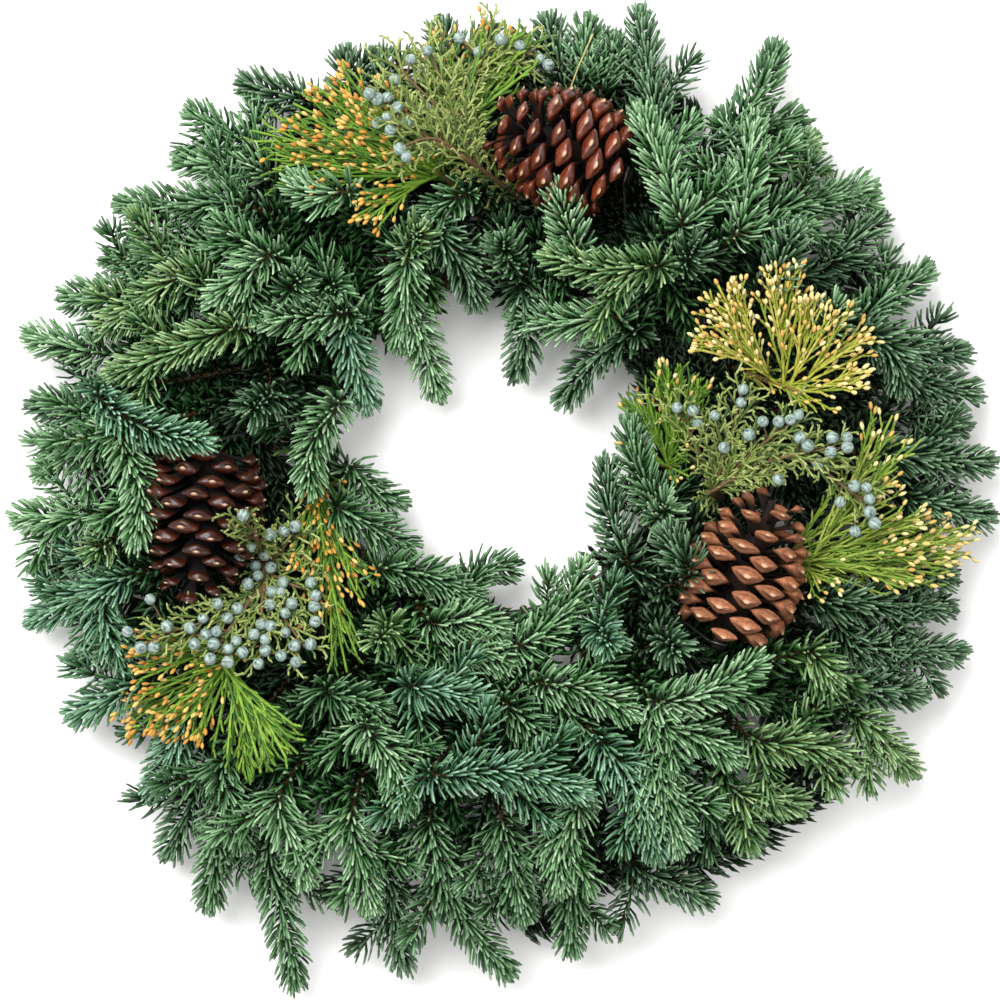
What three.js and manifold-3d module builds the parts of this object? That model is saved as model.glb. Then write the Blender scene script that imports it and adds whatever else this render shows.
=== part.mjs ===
// Fresh evergreen wreath, lying on its back: a wire clamp frame carries bunches of noble fir tips,
// sprays of incense cedar and berried juniper, and three ponderosa pine cones held by florist's wire.
// Millimetres, +Z up towards the viewer, +Y towards the top of the wreath.
import * as THREE from "three";
import { mergeVertices } from "three/addons/utils/BufferGeometryUtils.js";
import Module from "manifold-3d";

const wasm = await Module();
wasm.setup();

// ---- driving dimensions ----
const frameCentre = [-6, 34];     // middle of the wire frame, from the middle of the foliage
const foliageReach = 305;         // radius of the foliage about its own middle
const holeReach = 75;             // radius of the hole about the frame's middle
const railRadii = [108, 150];     // inner and outer rail of the frame
const railWire = 2.5;             // radius of the rail wire, over its corners
const railSides = 6;
const railSteps = 20;
const clampWire = 1.7;            // radius of the clamp wire
const clampCount = 6;
const clampReach = [102.5, 155.5];
const clampHeight = 15;
const slotCount = 54;             // places round the frame where a bunch is clamped
const seatGap = 0.3;
const forkStep = 9;               // from one fork of a leader to the next
const leaderRadius = 2.4;         // the cut stem that lies across both rails under a clamp
const leaderSpan = [104.5, 153.5];
const floorLift = 17;             // height of the lowest foliage stems above the table
const rimRise = 15;               // extra height of the top layer at its rim
const moundRise = 62;             // extra height of the top layer half way out
const needleLength = 20;
const needleBase = 1.2;           // radius of a fir tip's core where its needles stand
const whorlBand = 2.4;            // length of core that bears one whorl of six needles
const whorlStep = 22;             // from one whorl to the next
const tipInset = 13;              // the core of a tip ends this far before its last needles do
const woodStep = 48;              // from one section to the next on the bare part of a stem
const woodRadius = 1.5;
const stemClearance = 0.5;
const needleClearance = 0.4;
const lowestNeedle = 1.5;
const leaderStep = [14, 9];       // a side stem's first stretch: how far out along its leader, how far up
const overLeader = 6;             // least height of a stem's middle above its leader
const bendSteps = 120;            // stretches by which the length of a stem is measured
const sideDetours = [0, 9, -9, 18, -18, 27, -27];
const liftDetours = [0, 5, -5, 10, -10, 15, -15, 20, 26];
const clampRoom = 1.2;            // from the underside of a clamp to the table
const coneRows = 9;
const coneRound = 7;
const coneSteps = 6;              // stretches by which a cone's room is kept
const rowSpan = [0.03, 0.92];     // share of a cone's length where its rows begin, and that they take up
const stalkRadius = 4;
const stalkLength = 9;
const coreShare = 0.42;           // radius of a cone's core, against the reach of its scales
const scaleShrink = 0.8;
const scaleLean = 0.06;           // how far a scale leans towards the apex, against the cone's length
const umboRise = 2.5;
const tieWire = 0.9;
const tieSteps = 8;
const tieTurn = 1.55 * Math.PI;   // how far the tie goes round a cone's stalk
const tieSlope = 0.35;            // how far the loop moves along the stalk with each step
const tieHeights = [24, 8];       // heights at which the tie bends down beside the rail
const forkDrop = 0.72;            // a fork lies below the layer that its twigs reach
const twigRadius = 1.1;
const budRadius = 2.2;
const twigEnd = [7, 2.5];         // the last two sections of a twig, from its end
const twigArch = 4;
const twigSway = 8;
const berryRadius = 3.75;
const needleTip = 0.1;
const needleRise = 0.12;          // how far a needle turns towards the viewer
const needleLean = [1.05, 0.3];   // lean of the first needles off their stem, and how much it drops
const endLean = 0.35;
const needleSway = 0.16;
const needleTries = [[1, 0], [0.9, 0.25], [0.9, -0.25], [0.72, 0], [0.6, 0.3], [0.6, -0.3]];

const apothem = Math.cos(Math.PI / railSides);
const railTop = 2 * railWire * apothem;
const leaderHeights = [railTop + seatGap + leaderRadius / 2, railTop + seatGap + leaderRadius];
const slotAngle = (2 * Math.PI) / slotCount;

// ---- what grows where: slot on the frame, then one row for each tip ----
// A fir row: where its needles start [x, y], its end [x, y], its layer (0 low, 1 on top),
// how far it bows to its left, and how far its end rises towards the viewer.
const firBunches = [
  { slot: 0, tips: [[236, 28, 306, 23, 0.6], [262, 52, 290, 46, 0.4], [258, 0, 306, -12, 0.5]] },
  { slot: 1, tips: [[240, 92, 290, 92, 0.6], [258, 74, 298, 67, 0.5], [228, 102, 250, 70, 0.8, 6]] },
  { slot: 2, tips: [[222, 112, 268, 145, 0.6], [200, 108, 208, 121, 0.85, 0, 18]] },
  {
    slot: 4,
    tips: [[205, 150, 238, 177, 0.5], [168, 138, 179, 166, 0.9, 0, 12], [205, 190, 231, 198, 0.5]],
  },
  { slot: 5, tips: [[82, 106, 38, 63, 0.7, -5], [70, 114, 8, 116, 0.9, 5]] },
  {
    slot: 6,
    tips: [[165, 178, 216, 192, 0.7], [176, 212, 194, 227, 0.5], [112, 146, 119, 157, 0.9, 0, 16]],
  },
  { slot: 7, tips: [[95, 144, 28, 152, 1, 6], [145, 165, 157, 238, 0.9]] },
  { slot: 8, tips: [[110, 170, 84, 240, 1], [138, 228, 173, 285, 0.6, -5], [162, 236, 187, 241, 0.45]] },
  { slot: 9, tips: [[98, 206, 86, 307, 0.7], [62, 262, 69, 290, 0.4]] },
  { slot: 10, tips: [[12, 135, 8, 80, 0.7, 4], [45, 152, 32, 192, 0.9], [4, 148, -2, 162, 0.8, 0, 16]] },
  { slot: 11, tips: [[50, 265, 52, 302, 0.5], [38, 262, 28, 303, 0.35]] },
  { slot: 13, tips: [[-30, 272, -40, 300, 0.3], [-25, 190, -52, 172, 0.7]] },
  { slot: 15, tips: [[-42, 168, -17, 125, 0.8, 3], [-58, 158, -50, 169, 0.8, 0, 12]] },
  { slot: 16, tips: [[-78, 258, -78, 281, 0.3], [-98, 258, -100, 281, 0.35]] },
  { slot: 17, tips: [[-60, 150, -65, 98, 0.9], [-58, 120, -42, 68, 0.8]] },
  {
    slot: 18,
    tips: [[-98, 190, -131, 197, 0.9, 6], [-124, 250, -164, 264, 0.4], [-160, 222, -197, 244, 0.5]],
  },
  { slot: 19, tips: [[-150, 205, -203, 214, 0.6], [-165, 184, -241, 186, 0.7]] },
  {
    slot: 20,
    tips: [[-100, 112, -86, 60, 0.8], [-98, 116, -147, 111, 0.9], [-108, 134, -102, 124, 0.8, 0, 16]],
  },
  {
    slot: 21,
    tips: [[-160, 158, -248, 150, 0.7], [-145, 150, -179, 123, 1], [-132, 130, -124, 139, 0.9, 0, 14]],
  },
  { slot: 22, tips: [[-200, 138, -252, 106, 0.8], [-228, 130, -277, 127, 0.6]] },
  { slot: 23, tips: [[-106, 58, -122, 6, 0.9, -6], [-148, 62, -159, 53, 0.8, 0, 14]] },
  {
    slot: 24,
    tips: [[-165, 106, -243, 78, 0.9], [-255, 92, -299, 103, 0.6], [-252, 66, -184, 36, 1, -8]],
  },
  {
    slot: 25,
    tips: [[-250, 58, -297, 60, 0.4], [-240, 45, -292, 17, 0.8], [-236, 40, -228, -26, 0.9, 6]],
  },
  {
    slot: 28,
    tips: [[-262, -10, -307, -12, 0.7], [-262, -38, -293, -44, 0.4], [-248, -26, -257, -34, 0.8, 0, 14]],
  },
  {
    slot: 30,
    tips: [[-238, -50, -298, -76, 0.7], [-235, -85, -268, -103, 0.5], [-250, -60, -235, -105, 0.8, -6]],
  },
  { slot: 31, tips: [[-97, 22, -67, -3, 0.9, -4], [-105, -5, -60, -31, 0.8]] },
  { slot: 32, tips: [[-232, -118, -273, -137, 0.6], [-200, -140, -222, -186, 0.7]] },
  {
    slot: 34,
    tips: [[-196, -190, -213, -224, 0.4], [-178, -196, -187, -256, 0.6], [-176, -168, -164, -216, 0.8]],
  },
  {
    slot: 35,
    tips: [
      [-72, -80, -79, -91, 0.9, 0, 16], [-45, -78, 0, -84, 0.9, 6], [-30, -64, 5, -42, 0.6, 8],
      [-78, -44, -22, -62, 0.8, 5],
    ],
  },
  {
    slot: 36,
    tips: [[-140, -188, -123, -237, 0.9], [-148, -215, -133, -306, 0.5], [-110, -120, -75, -130, 0.8]],
  },
  {
    slot: 37,
    tips: [[-95, -198, -84, -256, 0.8], [-76, -225, -64, -295, 0.5], [-85, -140, -63, -192, 0.9, 6]],
  },
  { slot: 38, tips: [[-58, -116, -13, -124, 1], [-28, -96, 2, -103, 0.8, 4], [2, -128, 25, -150, 0.8]] },
  { slot: 39, tips: [[-46, -202, 2, -299, 0.7, -10], [0, -203, 12, -262, 0.7]] },
  { slot: 40, tips: [[8, -92, 50, -42, 0.9, -8], [25, -115, 79, -132, 0.9, 4]] },
  {
    slot: 41,
    tips: [[-45, -170, 49, -181, 1, 8], [46, -188, 35, -242, 0.8, -6], [42, -228, 42, -284, 0.5]],
  },
  {
    slot: 42,
    tips: [[84, -232, 128, -252, 0.5], [92, -165, 110, -216, 0.8], [60, -150, 96, -222, 0.8, 6]],
  },
  {
    slot: 44,
    tips: [[128, -192, 160, -216, 0.5], [148, -184, 186, -191, 0.8], [92, -138, 142, -160, 0.9, 4]],
  },
  {
    slot: 45,
    tips: [[60, -80, 66, -92, 0.9, 0, 16], [100, -88, 108, -95, 0.9, 0, 16], [95, -125, 156, -100, 1, -6]],
  },
  {
    slot: 46,
    tips: [[158, -150, 223, -167, 0.9, 5], [224, -138, 257, -172, 0.8], [190, -95, 205, -110, 1, 0, 10]],
  },
  { slot: 47, tips: [[115, -45, 100, -20, 0.8], [78, -40, 66, 22, 0.8, 5]] },
  { slot: 48, tips: [[215, -118, 262, -122, 0.6], [218, -92, 288, -98, 0.5]] },
  { slot: 49, tips: [[198, -63, 281, -69, 0.8], [250, -45, 282, -50, 0.4]] },
  { slot: 51, tips: [[97, -5, 80, 48, 0.8, 5], [98, -12, 104, -2, 0.9, 0, 12]] },
];

// A scaled spray: slot, where its stem forks, its layer, and the end of each twig [x, y],
// with a layer and a bow to its left of its own where it needs them.
const cedarSprays = [
  {
    name: "cedar_spray_top", slot: 14, fork: [-44, 206], layer: 0.95,
    ends: [
      [-158, 231], [-150, 212], [-132, 248], [-112, 262], [-92, 240], [-90, 176],
      [-38, 292, 0.6], [-6, 303, 0.6], [20, 296, 0.6],
    ],
  },
  {
    name: "cedar_spray_right", slot: 3, fork: [186, 66], layer: 1,
    ends: [[132, 132], [118, 101], [168, 142], [190, 128], [226, 104], [222, 76]],
  },
  {
    name: "cedar_spray_far_right", slot: 50, fork: [192, -42], layer: 0.9,
    ends: [[245, 20], [262, -10], [288, -18], [297, -26], [284, -36], [258, -50], [206, -52], [242, 52]],
  },
  {
    name: "cedar_spray_inner_right", slot: 53, fork: [106, 20], layer: 0.5,
    ends: [[103, 86], [124, 76], [76, 64], [82, 40]],
  },
  {
    name: "cedar_spray_inner_left", slot: 27, fork: [-118, 14], layer: 0.7,
    ends: [[-112, 4], [-108, -44], [-88, -62], [-98, -108]],
  },
  {
    name: "cedar_spray_left", slot: 33, fork: [-178, -104], layer: 0.85,
    ends: [[-232, -98], [-236, -138], [-212, -150], [-190, -148], [-158, -178], [-142, -166], [-128, -158]],
  },
];

// A juniper spray: slot, fork, the end of each twig, and the berries on each twig as shares of its length.
const juniperSprays = [
  {
    name: "juniper_spray_top", slot: 12, fork: [-27, 214], layer: 1.1,
    ends: [
      [-80, 252], [-70, 272], [-48, 284], [-4, 290, 0.7, 10], [20, 284, 0.6, 22],
      [-66, 216], [-62, 234],
    ],
    berries: [[1, 0.78], [0.96], [1], [1], [1], [1], [0.96]],
  },
  {
    name: "juniper_spray_right", slot: 52, fork: [128, 4], layer: 0.9,
    ends: [[107, 57], [131, 52], [148, 68], [181, 50], [204, 32], [222, 0, 0.9, 26]],
    berries: [[1], [1], [1], [1, 0.8], [1], [1, 0.85]],
  },
  {
    name: "juniper_spray_left", slot: 29, fork: [-150, -58], layer: 0.8,
    ends: [[-160, -12], [-130, -18], [-118, -58], [-124, -92], [-150, -98], [-178, -92], [-214, -84]],
    berries: [[1], [1, 0.6], [1], [1, 0.55], [1], [1, 0.6], [1]],
  },
];

// A cone: its base and apex [x, y, z], its radius, and the frame angle in degrees where its wire is wound.
const pineCones = [
  { name: "cone_top", base: [70, 204, 68], apex: [-12, 239, 72], radius: 37, tieAt: 56.7 },
  { name: "cone_left", base: [-184, 30, 70], apex: [-195, -70, 62], radius: 36, tieAt: 176.7 },
  { name: "cone_right", base: [136, -84, 66], apex: [171, 8, 72], radius: 36, tieAt: 316.7 },
];

// ---- small helpers ----
const vec = (x, y, z) => new THREE.Vector3(x, y, z);
const mix = (a, b, t) => a.clone().lerp(b, t);

function seededRandom(seed) {
  let state = seed;
  return () => {
    state = (state + 0x6d2b79f5) | 0;
    let t = Math.imul(state ^ (state >>> 15), 1 | state);
    t = (t + Math.imul(t ^ (t >>> 7), 61 | t)) ^ t;
    return ((t ^ (t >>> 14)) >>> 0) / 4294967296;
  };
}

// A point on the frame at a radius, an angle in radians and a height.
function onFrame(radius, angle, z) {
  return vec(frameCentre[0] + radius * Math.cos(angle), frameCentre[1] + radius * Math.sin(angle), z);
}

// Height of a foliage layer: low at the hole and at the rim, high half way between.
function layerHeight(x, y, layer) {
  const fromHole = Math.max(Math.hypot(x - frameCentre[0], y - frameCentre[1]) - holeReach, 0);
  const fromRim = Math.max(foliageReach - Math.hypot(x, y), 0);
  const out = fromHole / Math.max(fromHole + fromRim, 1);
  return floorLift + layer * (rimRise + moundRise * 4 * out * (1 - out));
}

function at(x, y, layer) {
  return vec(x, y, layerHeight(x, y, layer));
}

function geometryFrom(points, triangles) {
  const geometry = new THREE.BufferGeometry();
  const places = points.flatMap((p) => [p.x, p.y, p.z]);
  geometry.setAttribute("position", new THREE.Float32BufferAttribute(places, 3));
  geometry.setIndex(triangles.flat());
  return geometry;
}

function solidFrom(geometry) {
  const bare = geometry.clone();
  bare.deleteAttribute("normal");
  bare.deleteAttribute("uv");
  const merged = mergeVertices(bare, 1e-4);
  return new wasm.Manifold(new wasm.Mesh({
    numProp: 3,
    vertProperties: new Float32Array(merged.attributes.position.array),
    triVerts: new Uint32Array(merged.index.array),
  }));
}

function geometryOf(solid) {
  const mesh = solid.getMesh();
  const geometry = new THREE.BufferGeometry();
  geometry.setAttribute("position", new THREE.BufferAttribute(mesh.vertProperties, 3));
  geometry.setIndex(new THREE.BufferAttribute(mesh.triVerts, 1));
  geometry.computeVertexNormals();
  return geometry;
}

function joined(geometries) {
  return geometryOf(geometries.map(solidFrom).reduce((all, one) => all.add(one)));
}

// ---- room already taken by stems, needles, berries and cones ----
const taken = [];

function occupy(owner, a, b, radiusA, radiusB) {
  const middle = mix(a, b, 0.5);
  const reach = a.distanceTo(b) / 2 + Math.max(radiusA, radiusB);
  taken.push({ owner, a, b, radiusA, radiusB, middle, reach });
}

function claimPath(owner, points, radii) {
  points.slice(1).forEach((point, i) => occupy(owner, points[i], point, radii[i], radii[i + 1]));
}

// Distance between the surfaces of two tapering rods, at the place where their axes come closest.
function rodGap(a, b, radiusA, radiusB, other) {
  const d1 = b.clone().sub(a);
  const d2 = other.b.clone().sub(other.a);
  const r = a.clone().sub(other.a);
  const l1 = d1.lengthSq() + 1e-9;
  const l2 = d2.lengthSq() + 1e-9;
  const c = d1.dot(r);
  const f = d2.dot(r);
  const dot = d1.dot(d2);
  const denominator = l1 * l2 - dot * dot;
  let s = denominator > 1e-6 ? THREE.MathUtils.clamp((dot * f - c * l2) / denominator, 0, 1) : 0;
  let t = THREE.MathUtils.clamp((dot * s + f) / l2, 0, 1);
  s = THREE.MathUtils.clamp((dot * t - c) / l1, 0, 1);
  t = THREE.MathUtils.clamp((dot * s + f) / l2, 0, 1);
  const distance = a.clone().addScaledVector(d1, s).distanceTo(other.a.clone().addScaledVector(d2, t));
  const ownRadius = radiusA + (radiusB - radiusA) * s;
  const otherRadius = other.radiusA + (other.radiusB - other.radiusA) * t;
  return distance - ownRadius - otherRadius;
}

function isClear(a, b, radiusA, radiusB, gap, skip) {
  const middle = mix(a, b, 0.5);
  const reach = a.distanceTo(b) / 2 + Math.max(radiusA, radiusB) + gap;
  return taken.every((other) => {
    if (skip(other.owner)) return true;
    const room = reach + other.reach;
    if (middle.distanceToSquared(other.middle) > room * room) return true;
    return rodGap(a, b, radiusA, radiusB, other) > gap;
  });
}

// ---- stems: centripetal curves through a few points, bent clear of what is already there ----
function sections(path, lengths) {
  const curve = new THREE.CatmullRomCurve3(path, false, "centripetal");
  curve.arcLengthDivisions = bendSteps;
  const total = curve.getLength();
  return lengths(total).map((length) => curve.getPointAt(THREE.MathUtils.clamp(length / total, 0, 1)));
}

const detours = sideDetours
  .flatMap((side) => liftDetours.map((lift) => ({ side, lift })))
  .sort((a, b) => Math.abs(a.side) + Math.abs(a.lift) - Math.abs(b.side) - Math.abs(b.lift));

// Tries each detour of the hidden part and each lift of the seen part until the stem touches nothing.
function bendClear(owner, route, lengths, radius) {
  const own = (other) => other.split("/")[0] === owner;
  for (const detour of detours) {
    const points = sections(route(detour), lengths);
    const pairs = points.slice(1).map((point, i) => [points[i], point]);
    if (pairs.every(([a, b]) => isClear(a, b, radius, radius, stemClearance, own))) return points;
  }
  return sections(route(detours[0]), lengths);
}

// The leader of a bunch lies across both rails: first its cut end, then the end where it leaves them.
function leaderEnds(slot, outward) {
  const radii = outward ? leaderSpan : [leaderSpan[1], leaderSpan[0]];
  return radii.map((radius, i) => onFrame(radius, slot * slotAngle, leaderHeights[i]));
}

function growsOutward(point) {
  return Math.hypot(point.x - frameCentre[0], point.y - frameCentre[1]) > (railRadii[0] + railRadii[1]) / 2;
}

// The leader runs on from where it leaves the frame; every other stem of the bunch forks from it.
function stemRoute(slot, start, end, rank, bow) {
  const outward = growsOutward(start);
  const way = outward ? 1 : -1;
  const edge = outward ? leaderSpan[1] : leaderSpan[0];
  const angle = slot * slotAngle;
  const along = end.clone().sub(start).setZ(0).normalize();
  const left = vec(-along.y, along.x, 0);
  return ({ side, lift }) => {
    const foot = edge - way * forkStep * rank;
    const first = rank === 0
      ? [onFrame(edge, angle, leaderHeights[1])]
      : [
        onFrame(foot, angle, leaderHeights[1]),
        onFrame(foot + way * leaderStep[0], angle, leaderHeights[1] + leaderStep[1]),
      ];
    const leave = first[first.length - 1];
    const [s, e] = [start, end].map((point) => point.clone().setZ(point.z + lift));
    const across = s.clone().sub(leave);
    const half = mix(leave, s, 0.5).add(vec(-across.y, across.x, 0).normalize().multiplyScalar(side));
    half.z = Math.max(half.z, leaderHeights[1] + overLeader) + lift * 0.5;
    return [...first, half, s, mix(s, e, 0.5).addScaledVector(left, bow), e];
  };
}

// A closed three-sided skin round the sections, each turned by 60 degrees from the last.
// raise(triangle, section) gives the apex of a needle on that triangle, or null.
function skin(points, radii, raise) {
  const sides = 3;
  const vertices = [];
  const triangles = [];
  let normal = vec(0, 0, 1);
  points.forEach((point, i) => {
    const ahead = points[Math.min(i + 1, points.length - 1)];
    const tangent = ahead.clone().sub(points[Math.max(i - 1, 0)]).normalize();
    normal.addScaledVector(tangent, -normal.dot(tangent));
    if (normal.lengthSq() < 1e-3) normal.set(tangent.y, -tangent.x, 0.01);
    normal.normalize();
    const binormal = tangent.clone().cross(normal);
    for (let j = 0; j < sides; j++) {
      const turn = (2 * Math.PI * j) / sides + (i * Math.PI) / sides;
      const spoke = normal.clone().multiplyScalar(Math.cos(turn)).addScaledVector(binormal, Math.sin(turn));
      vertices.push(point.clone().addScaledVector(spoke, radii[i]));
    }
  });
  const face = (a, b, c, section) => {
    const apex = raise && raise([vertices[a], vertices[b], vertices[c]], section);
    if (!apex) {
      triangles.push([a, b, c]);
      return;
    }
    const top = vertices.push(apex) - 1;
    triangles.push([a, b, top], [b, c, top], [c, a, top]);
  };
  triangles.push([0, 2, 1]);
  for (let i = 0; i + 1 < points.length; i++) {
    for (let j = 0; j < sides; j++) {
      const [a, b] = [i * sides + j, i * sides + ((j + 1) % sides)];
      face(a, b, a + sides, i);
      face(b, b + sides, a + sides, i);
    }
  }
  const lastRing = (points.length - 1) * sides;
  const last = points[points.length - 1];
  const before = points[points.length - 2];
  const past = last.clone().sub(before).setLength(radii[radii.length - 1] * 2);
  const tip = vertices.push(last.clone().add(past)) - 1;
  for (let j = 0; j < sides; j++) {
    face(lastRing + j, lastRing + ((j + 1) % sides), tip, points.length - 1);
  }
  return geometryFrom(vertices, triangles);
}

// ---- wire frame ----
function rail(radius) {
  const profile = [];
  for (let i = 0; i <= railSides; i++) {
    const turn = (2 * Math.PI * (i + 0.5)) / railSides;
    const across = radius + railWire * Math.sin(turn);
    profile.push(new THREE.Vector2(across, railWire * (apothem - Math.cos(turn))));
  }
  const geometry = new THREE.LatheGeometry(profile, railSteps);
  geometry.rotateX(Math.PI / 2);
  geometry.translate(frameCentre[0], frameCentre[1], 0);
  return geometry;
}

// A clamp: one bar across both rails, whose ends stand up and lean over the cut stems.
function clampPath(angle) {
  const low = clampWire + clampRoom;
  const [near, far] = clampReach;
  return [
    onFrame(near + 2, angle, clampHeight),
    onFrame(near, angle, clampHeight / 2),
    onFrame(near + 1, angle, low),
    onFrame(far - 1, angle, low),
    onFrame(far, angle, clampHeight / 2),
    onFrame(far - 2, angle, clampHeight),
  ];
}

function wireFrame() {
  const pieces = railRadii.map(rail);
  for (const radius of railRadii) {
    for (let i = 0; i < railSteps; i++) {
      const angles = [i, i + 1].map((k) => (2 * Math.PI * k) / railSteps);
      const [a, b] = angles.map((angle) => onFrame(radius, angle, railWire * apothem));
      occupy("wire_frame", a, b, railWire, railWire);
    }
  }
  for (let i = 0; i < clampCount; i++) {
    const path = clampPath(((2 * Math.PI) / clampCount) * i + slotAngle / 2);
    const radii = path.map(() => clampWire);
    claimPath("wire_frame", path, radii);
    pieces.push(skin(path, radii));
  }
  return joined(pieces);
}

// ---- pine cones: a slim core whose surface is raised, cell by cell, into scales ----
// Radius of a cone along its length, 0 at the base and 1 at the apex: an egg, widest at a third.
function coneProfile(t) {
  return 0.16 + 0.84 * Math.sin(Math.PI * Math.min(0.16 + 0.8 * t ** 0.82, 1)) ** 0.8;
}

function coneAxes(cone) {
  const base = vec(...cone.base);
  const axis = vec(...cone.apex).sub(base);
  const length = axis.length();
  axis.normalize();
  const up = vec(0, 0, 1).addScaledVector(axis, -axis.z).normalize();
  return { base, axis, length, up, side: axis.clone().cross(up) };
}

// Keeps the points and triangles of a cone; place gives a point by share of length, turn and radius.
function coneBuilder(cone) {
  const { base, axis, length, up, side } = coneAxes(cone);
  const vertices = [];
  const along = (share) => base.clone().addScaledVector(axis, share * length);
  const place = (share, turn, radius) => along(share)
    .addScaledVector(up, radius * Math.cos(turn))
    .addScaledVector(side, radius * Math.sin(turn));
  const ring = (share, radius, row) => {
    const first = vertices.length;
    for (let j = 0; j < coneRound; j++) vertices.push(place(share, turnOf(row, j), radius));
    return (j) => first + ((j + coneRound) % coneRound);
  };
  return { base, axis, length, vertices, triangles: [], along, place, ring };
}

function turnOf(row, j) {
  return ((j + (row % 2) / 2) * 2 * Math.PI) / coneRound;
}

function shareOf(row) {
  return rowSpan[0] + (rowSpan[1] * row) / (coneRows + 1);
}

// One scale: a shrunken cell that stands off the core, with an umbo raised on its middle.
function raiseScale(cone, builder, core, row, j) {
  const { base, axis, vertices, triangles, place } = builder;
  const right = j + ((row - 1) % 2);
  const corners = [[row - 1, j], [row, right], [row + 1, j], [row, right - 1]];
  const outer = corners.map(([r, k]) => {
    const share = Math.min(shareOf(r) + scaleLean, 1);
    return place(share, turnOf(r, k), cone.radius * coneProfile(share) - umboRise);
  });
  const middle = outer.reduce((sum, point) => sum.add(point), vec(0, 0, 0)).multiplyScalar(1 / outer.length);
  const spoke = middle.clone().sub(base);
  spoke.addScaledVector(axis, -spoke.dot(axis)).setLength(umboRise);
  const first = vertices.length;
  vertices.push(...outer.map((point) => mix(middle, point, scaleShrink)));
  const umbo = vertices.push(middle.clone().add(spoke)) - 1;
  corners.forEach(([r, k], i) => {
    const [nextRow, nextJ] = corners[(i + 1) % 4];
    const [a, b] = [core[r](k), core[nextRow](nextJ)];
    const [c, d] = [first + i, first + ((i + 1) % 4)];
    triangles.push([a, b, d], [a, d, c], [c, d, umbo]);
  });
}

// The two ends of a cone: its stalk at the base, and the point of its core at the apex.
function closeCone(builder, core) {
  const { length, vertices, triangles, along, ring } = builder;
  const rows = core.length - 1;
  const collar = ring(0, stalkRadius, 0);
  const cut = ring(-stalkLength / length, stalkRadius, 0);
  const cutMiddle = vertices.push(along(-stalkLength / length)) - 1;
  const apex = vertices.push(along(1)) - 1;
  for (let j = 0; j < coneRound; j++) {
    triangles.push([core[0](j), core[0](j + 1), core[1](j)]);
    triangles.push([core[rows - 1](j + (rows % 2)), core[rows](j + 1), core[rows](j)]);
    triangles.push([core[rows](j), core[rows](j + 1), apex]);
    triangles.push([collar(j), collar(j + 1), core[0](j + 1)], [collar(j), core[0](j + 1), core[0](j)]);
    triangles.push([cut(j), cut(j + 1), collar(j + 1)], [cut(j), collar(j + 1), collar(j)]);
    triangles.push([cutMiddle, cut(j + 1), cut(j)]);
  }
}

function claimCone(cone, { along, length }) {
  for (let i = 0; i < coneSteps; i++) {
    const [s, t] = [i / coneSteps, (i + 1) / coneSteps];
    occupy(cone.name, along(s), along(t), cone.radius * coneProfile(s), cone.radius * coneProfile(t));
  }
  occupy(cone.name, along(-stalkLength / length), along(0), stalkRadius, stalkRadius);
}

function pineCone(cone) {
  const builder = coneBuilder(cone);
  const core = [];
  for (let row = 0; row <= coneRows + 1; row++) {
    const share = shareOf(row);
    core.push(builder.ring(share, cone.radius * coreShare * coneProfile(share), row));
  }
  for (let row = 1; row <= coneRows; row++) {
    for (let j = 0; j < coneRound; j++) raiseScale(cone, builder, core, row, j);
  }
  closeCone(builder, core);
  claimCone(cone, builder);
  const geometry = geometryFrom(builder.vertices, builder.triangles);
  geometry.computeVertexNormals();
  return geometry;
}

// The wire that holds a cone: a loop round its stalk, then down to the outside of the outer rail.
function coneTie(cone) {
  const { base, axis, up, side } = coneAxes(cone);
  const owner = `${cone.name}_tie`;
  const angle = THREE.MathUtils.degToRad(cone.tieAt);
  const loopRadius = stalkRadius + 2 * seatGap + tieWire;
  const middle = base.clone().addScaledVector(axis, -stalkLength / 2);
  const towards = onFrame(0, angle, 0).sub(middle);
  const startTurn = Math.atan2(towards.dot(side), towards.dot(up));
  const path = [];
  for (let i = 0; i <= tieSteps; i++) {
    const turn = startTurn + (tieTurn * (tieSteps - i)) / tieSteps;
    path.push(middle.clone()
      .addScaledVector(up, loopRadius * Math.cos(turn))
      .addScaledVector(side, loopRadius * Math.sin(turn))
      .addScaledVector(axis, -tieSlope * i));
  }
  const beside = besideRail(angle);
  path.push(onFrame(beside + 1, angle, tieHeights[0]));
  path.push(onFrame(beside, angle, tieHeights[1]));
  path.push(onFrame(beside, angle, 3 * tieWire));
  const radii = path.map(() => tieWire);
  claimPath(owner, path, radii);
  return skin(path, radii);
}

// Radius at which a tie hangs beside the straight stretches of the outer rail.
function besideRail(angle) {
  const step = (2 * Math.PI) / railSteps;
  const fromEdge = (angle % step) - step / 2;
  const chord = (railRadii[1] * Math.cos(step / 2)) / Math.cos(fromEdge);
  return chord + railWire + seatGap + tieWire;
}

// ---- sprays of scaled twigs: a stem from the frame to a fork, and twigs from the fork ----
function plainLengths(step) {
  return (total) => {
    const count = Math.max(2, Math.round(total / step));
    return Array.from({ length: count + 1 }, (_, i) => (total * i) / count);
  };
}

function mainStem(spray, radius) {
  const fork = at(...spray.fork, spray.layer * forkDrop);
  const outward = growsOutward(fork);
  const [cut, leave] = leaderEnds(spray.slot, outward);
  const route = stemRoute(spray.slot, mix(leave, fork, 0.7), fork, 0, 0);
  const points = [cut, ...bendClear(spray.name, route, plainLengths(woodStep), radius)];
  claimPath(spray.name, points, points.map(() => radius));
  return points;
}

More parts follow.
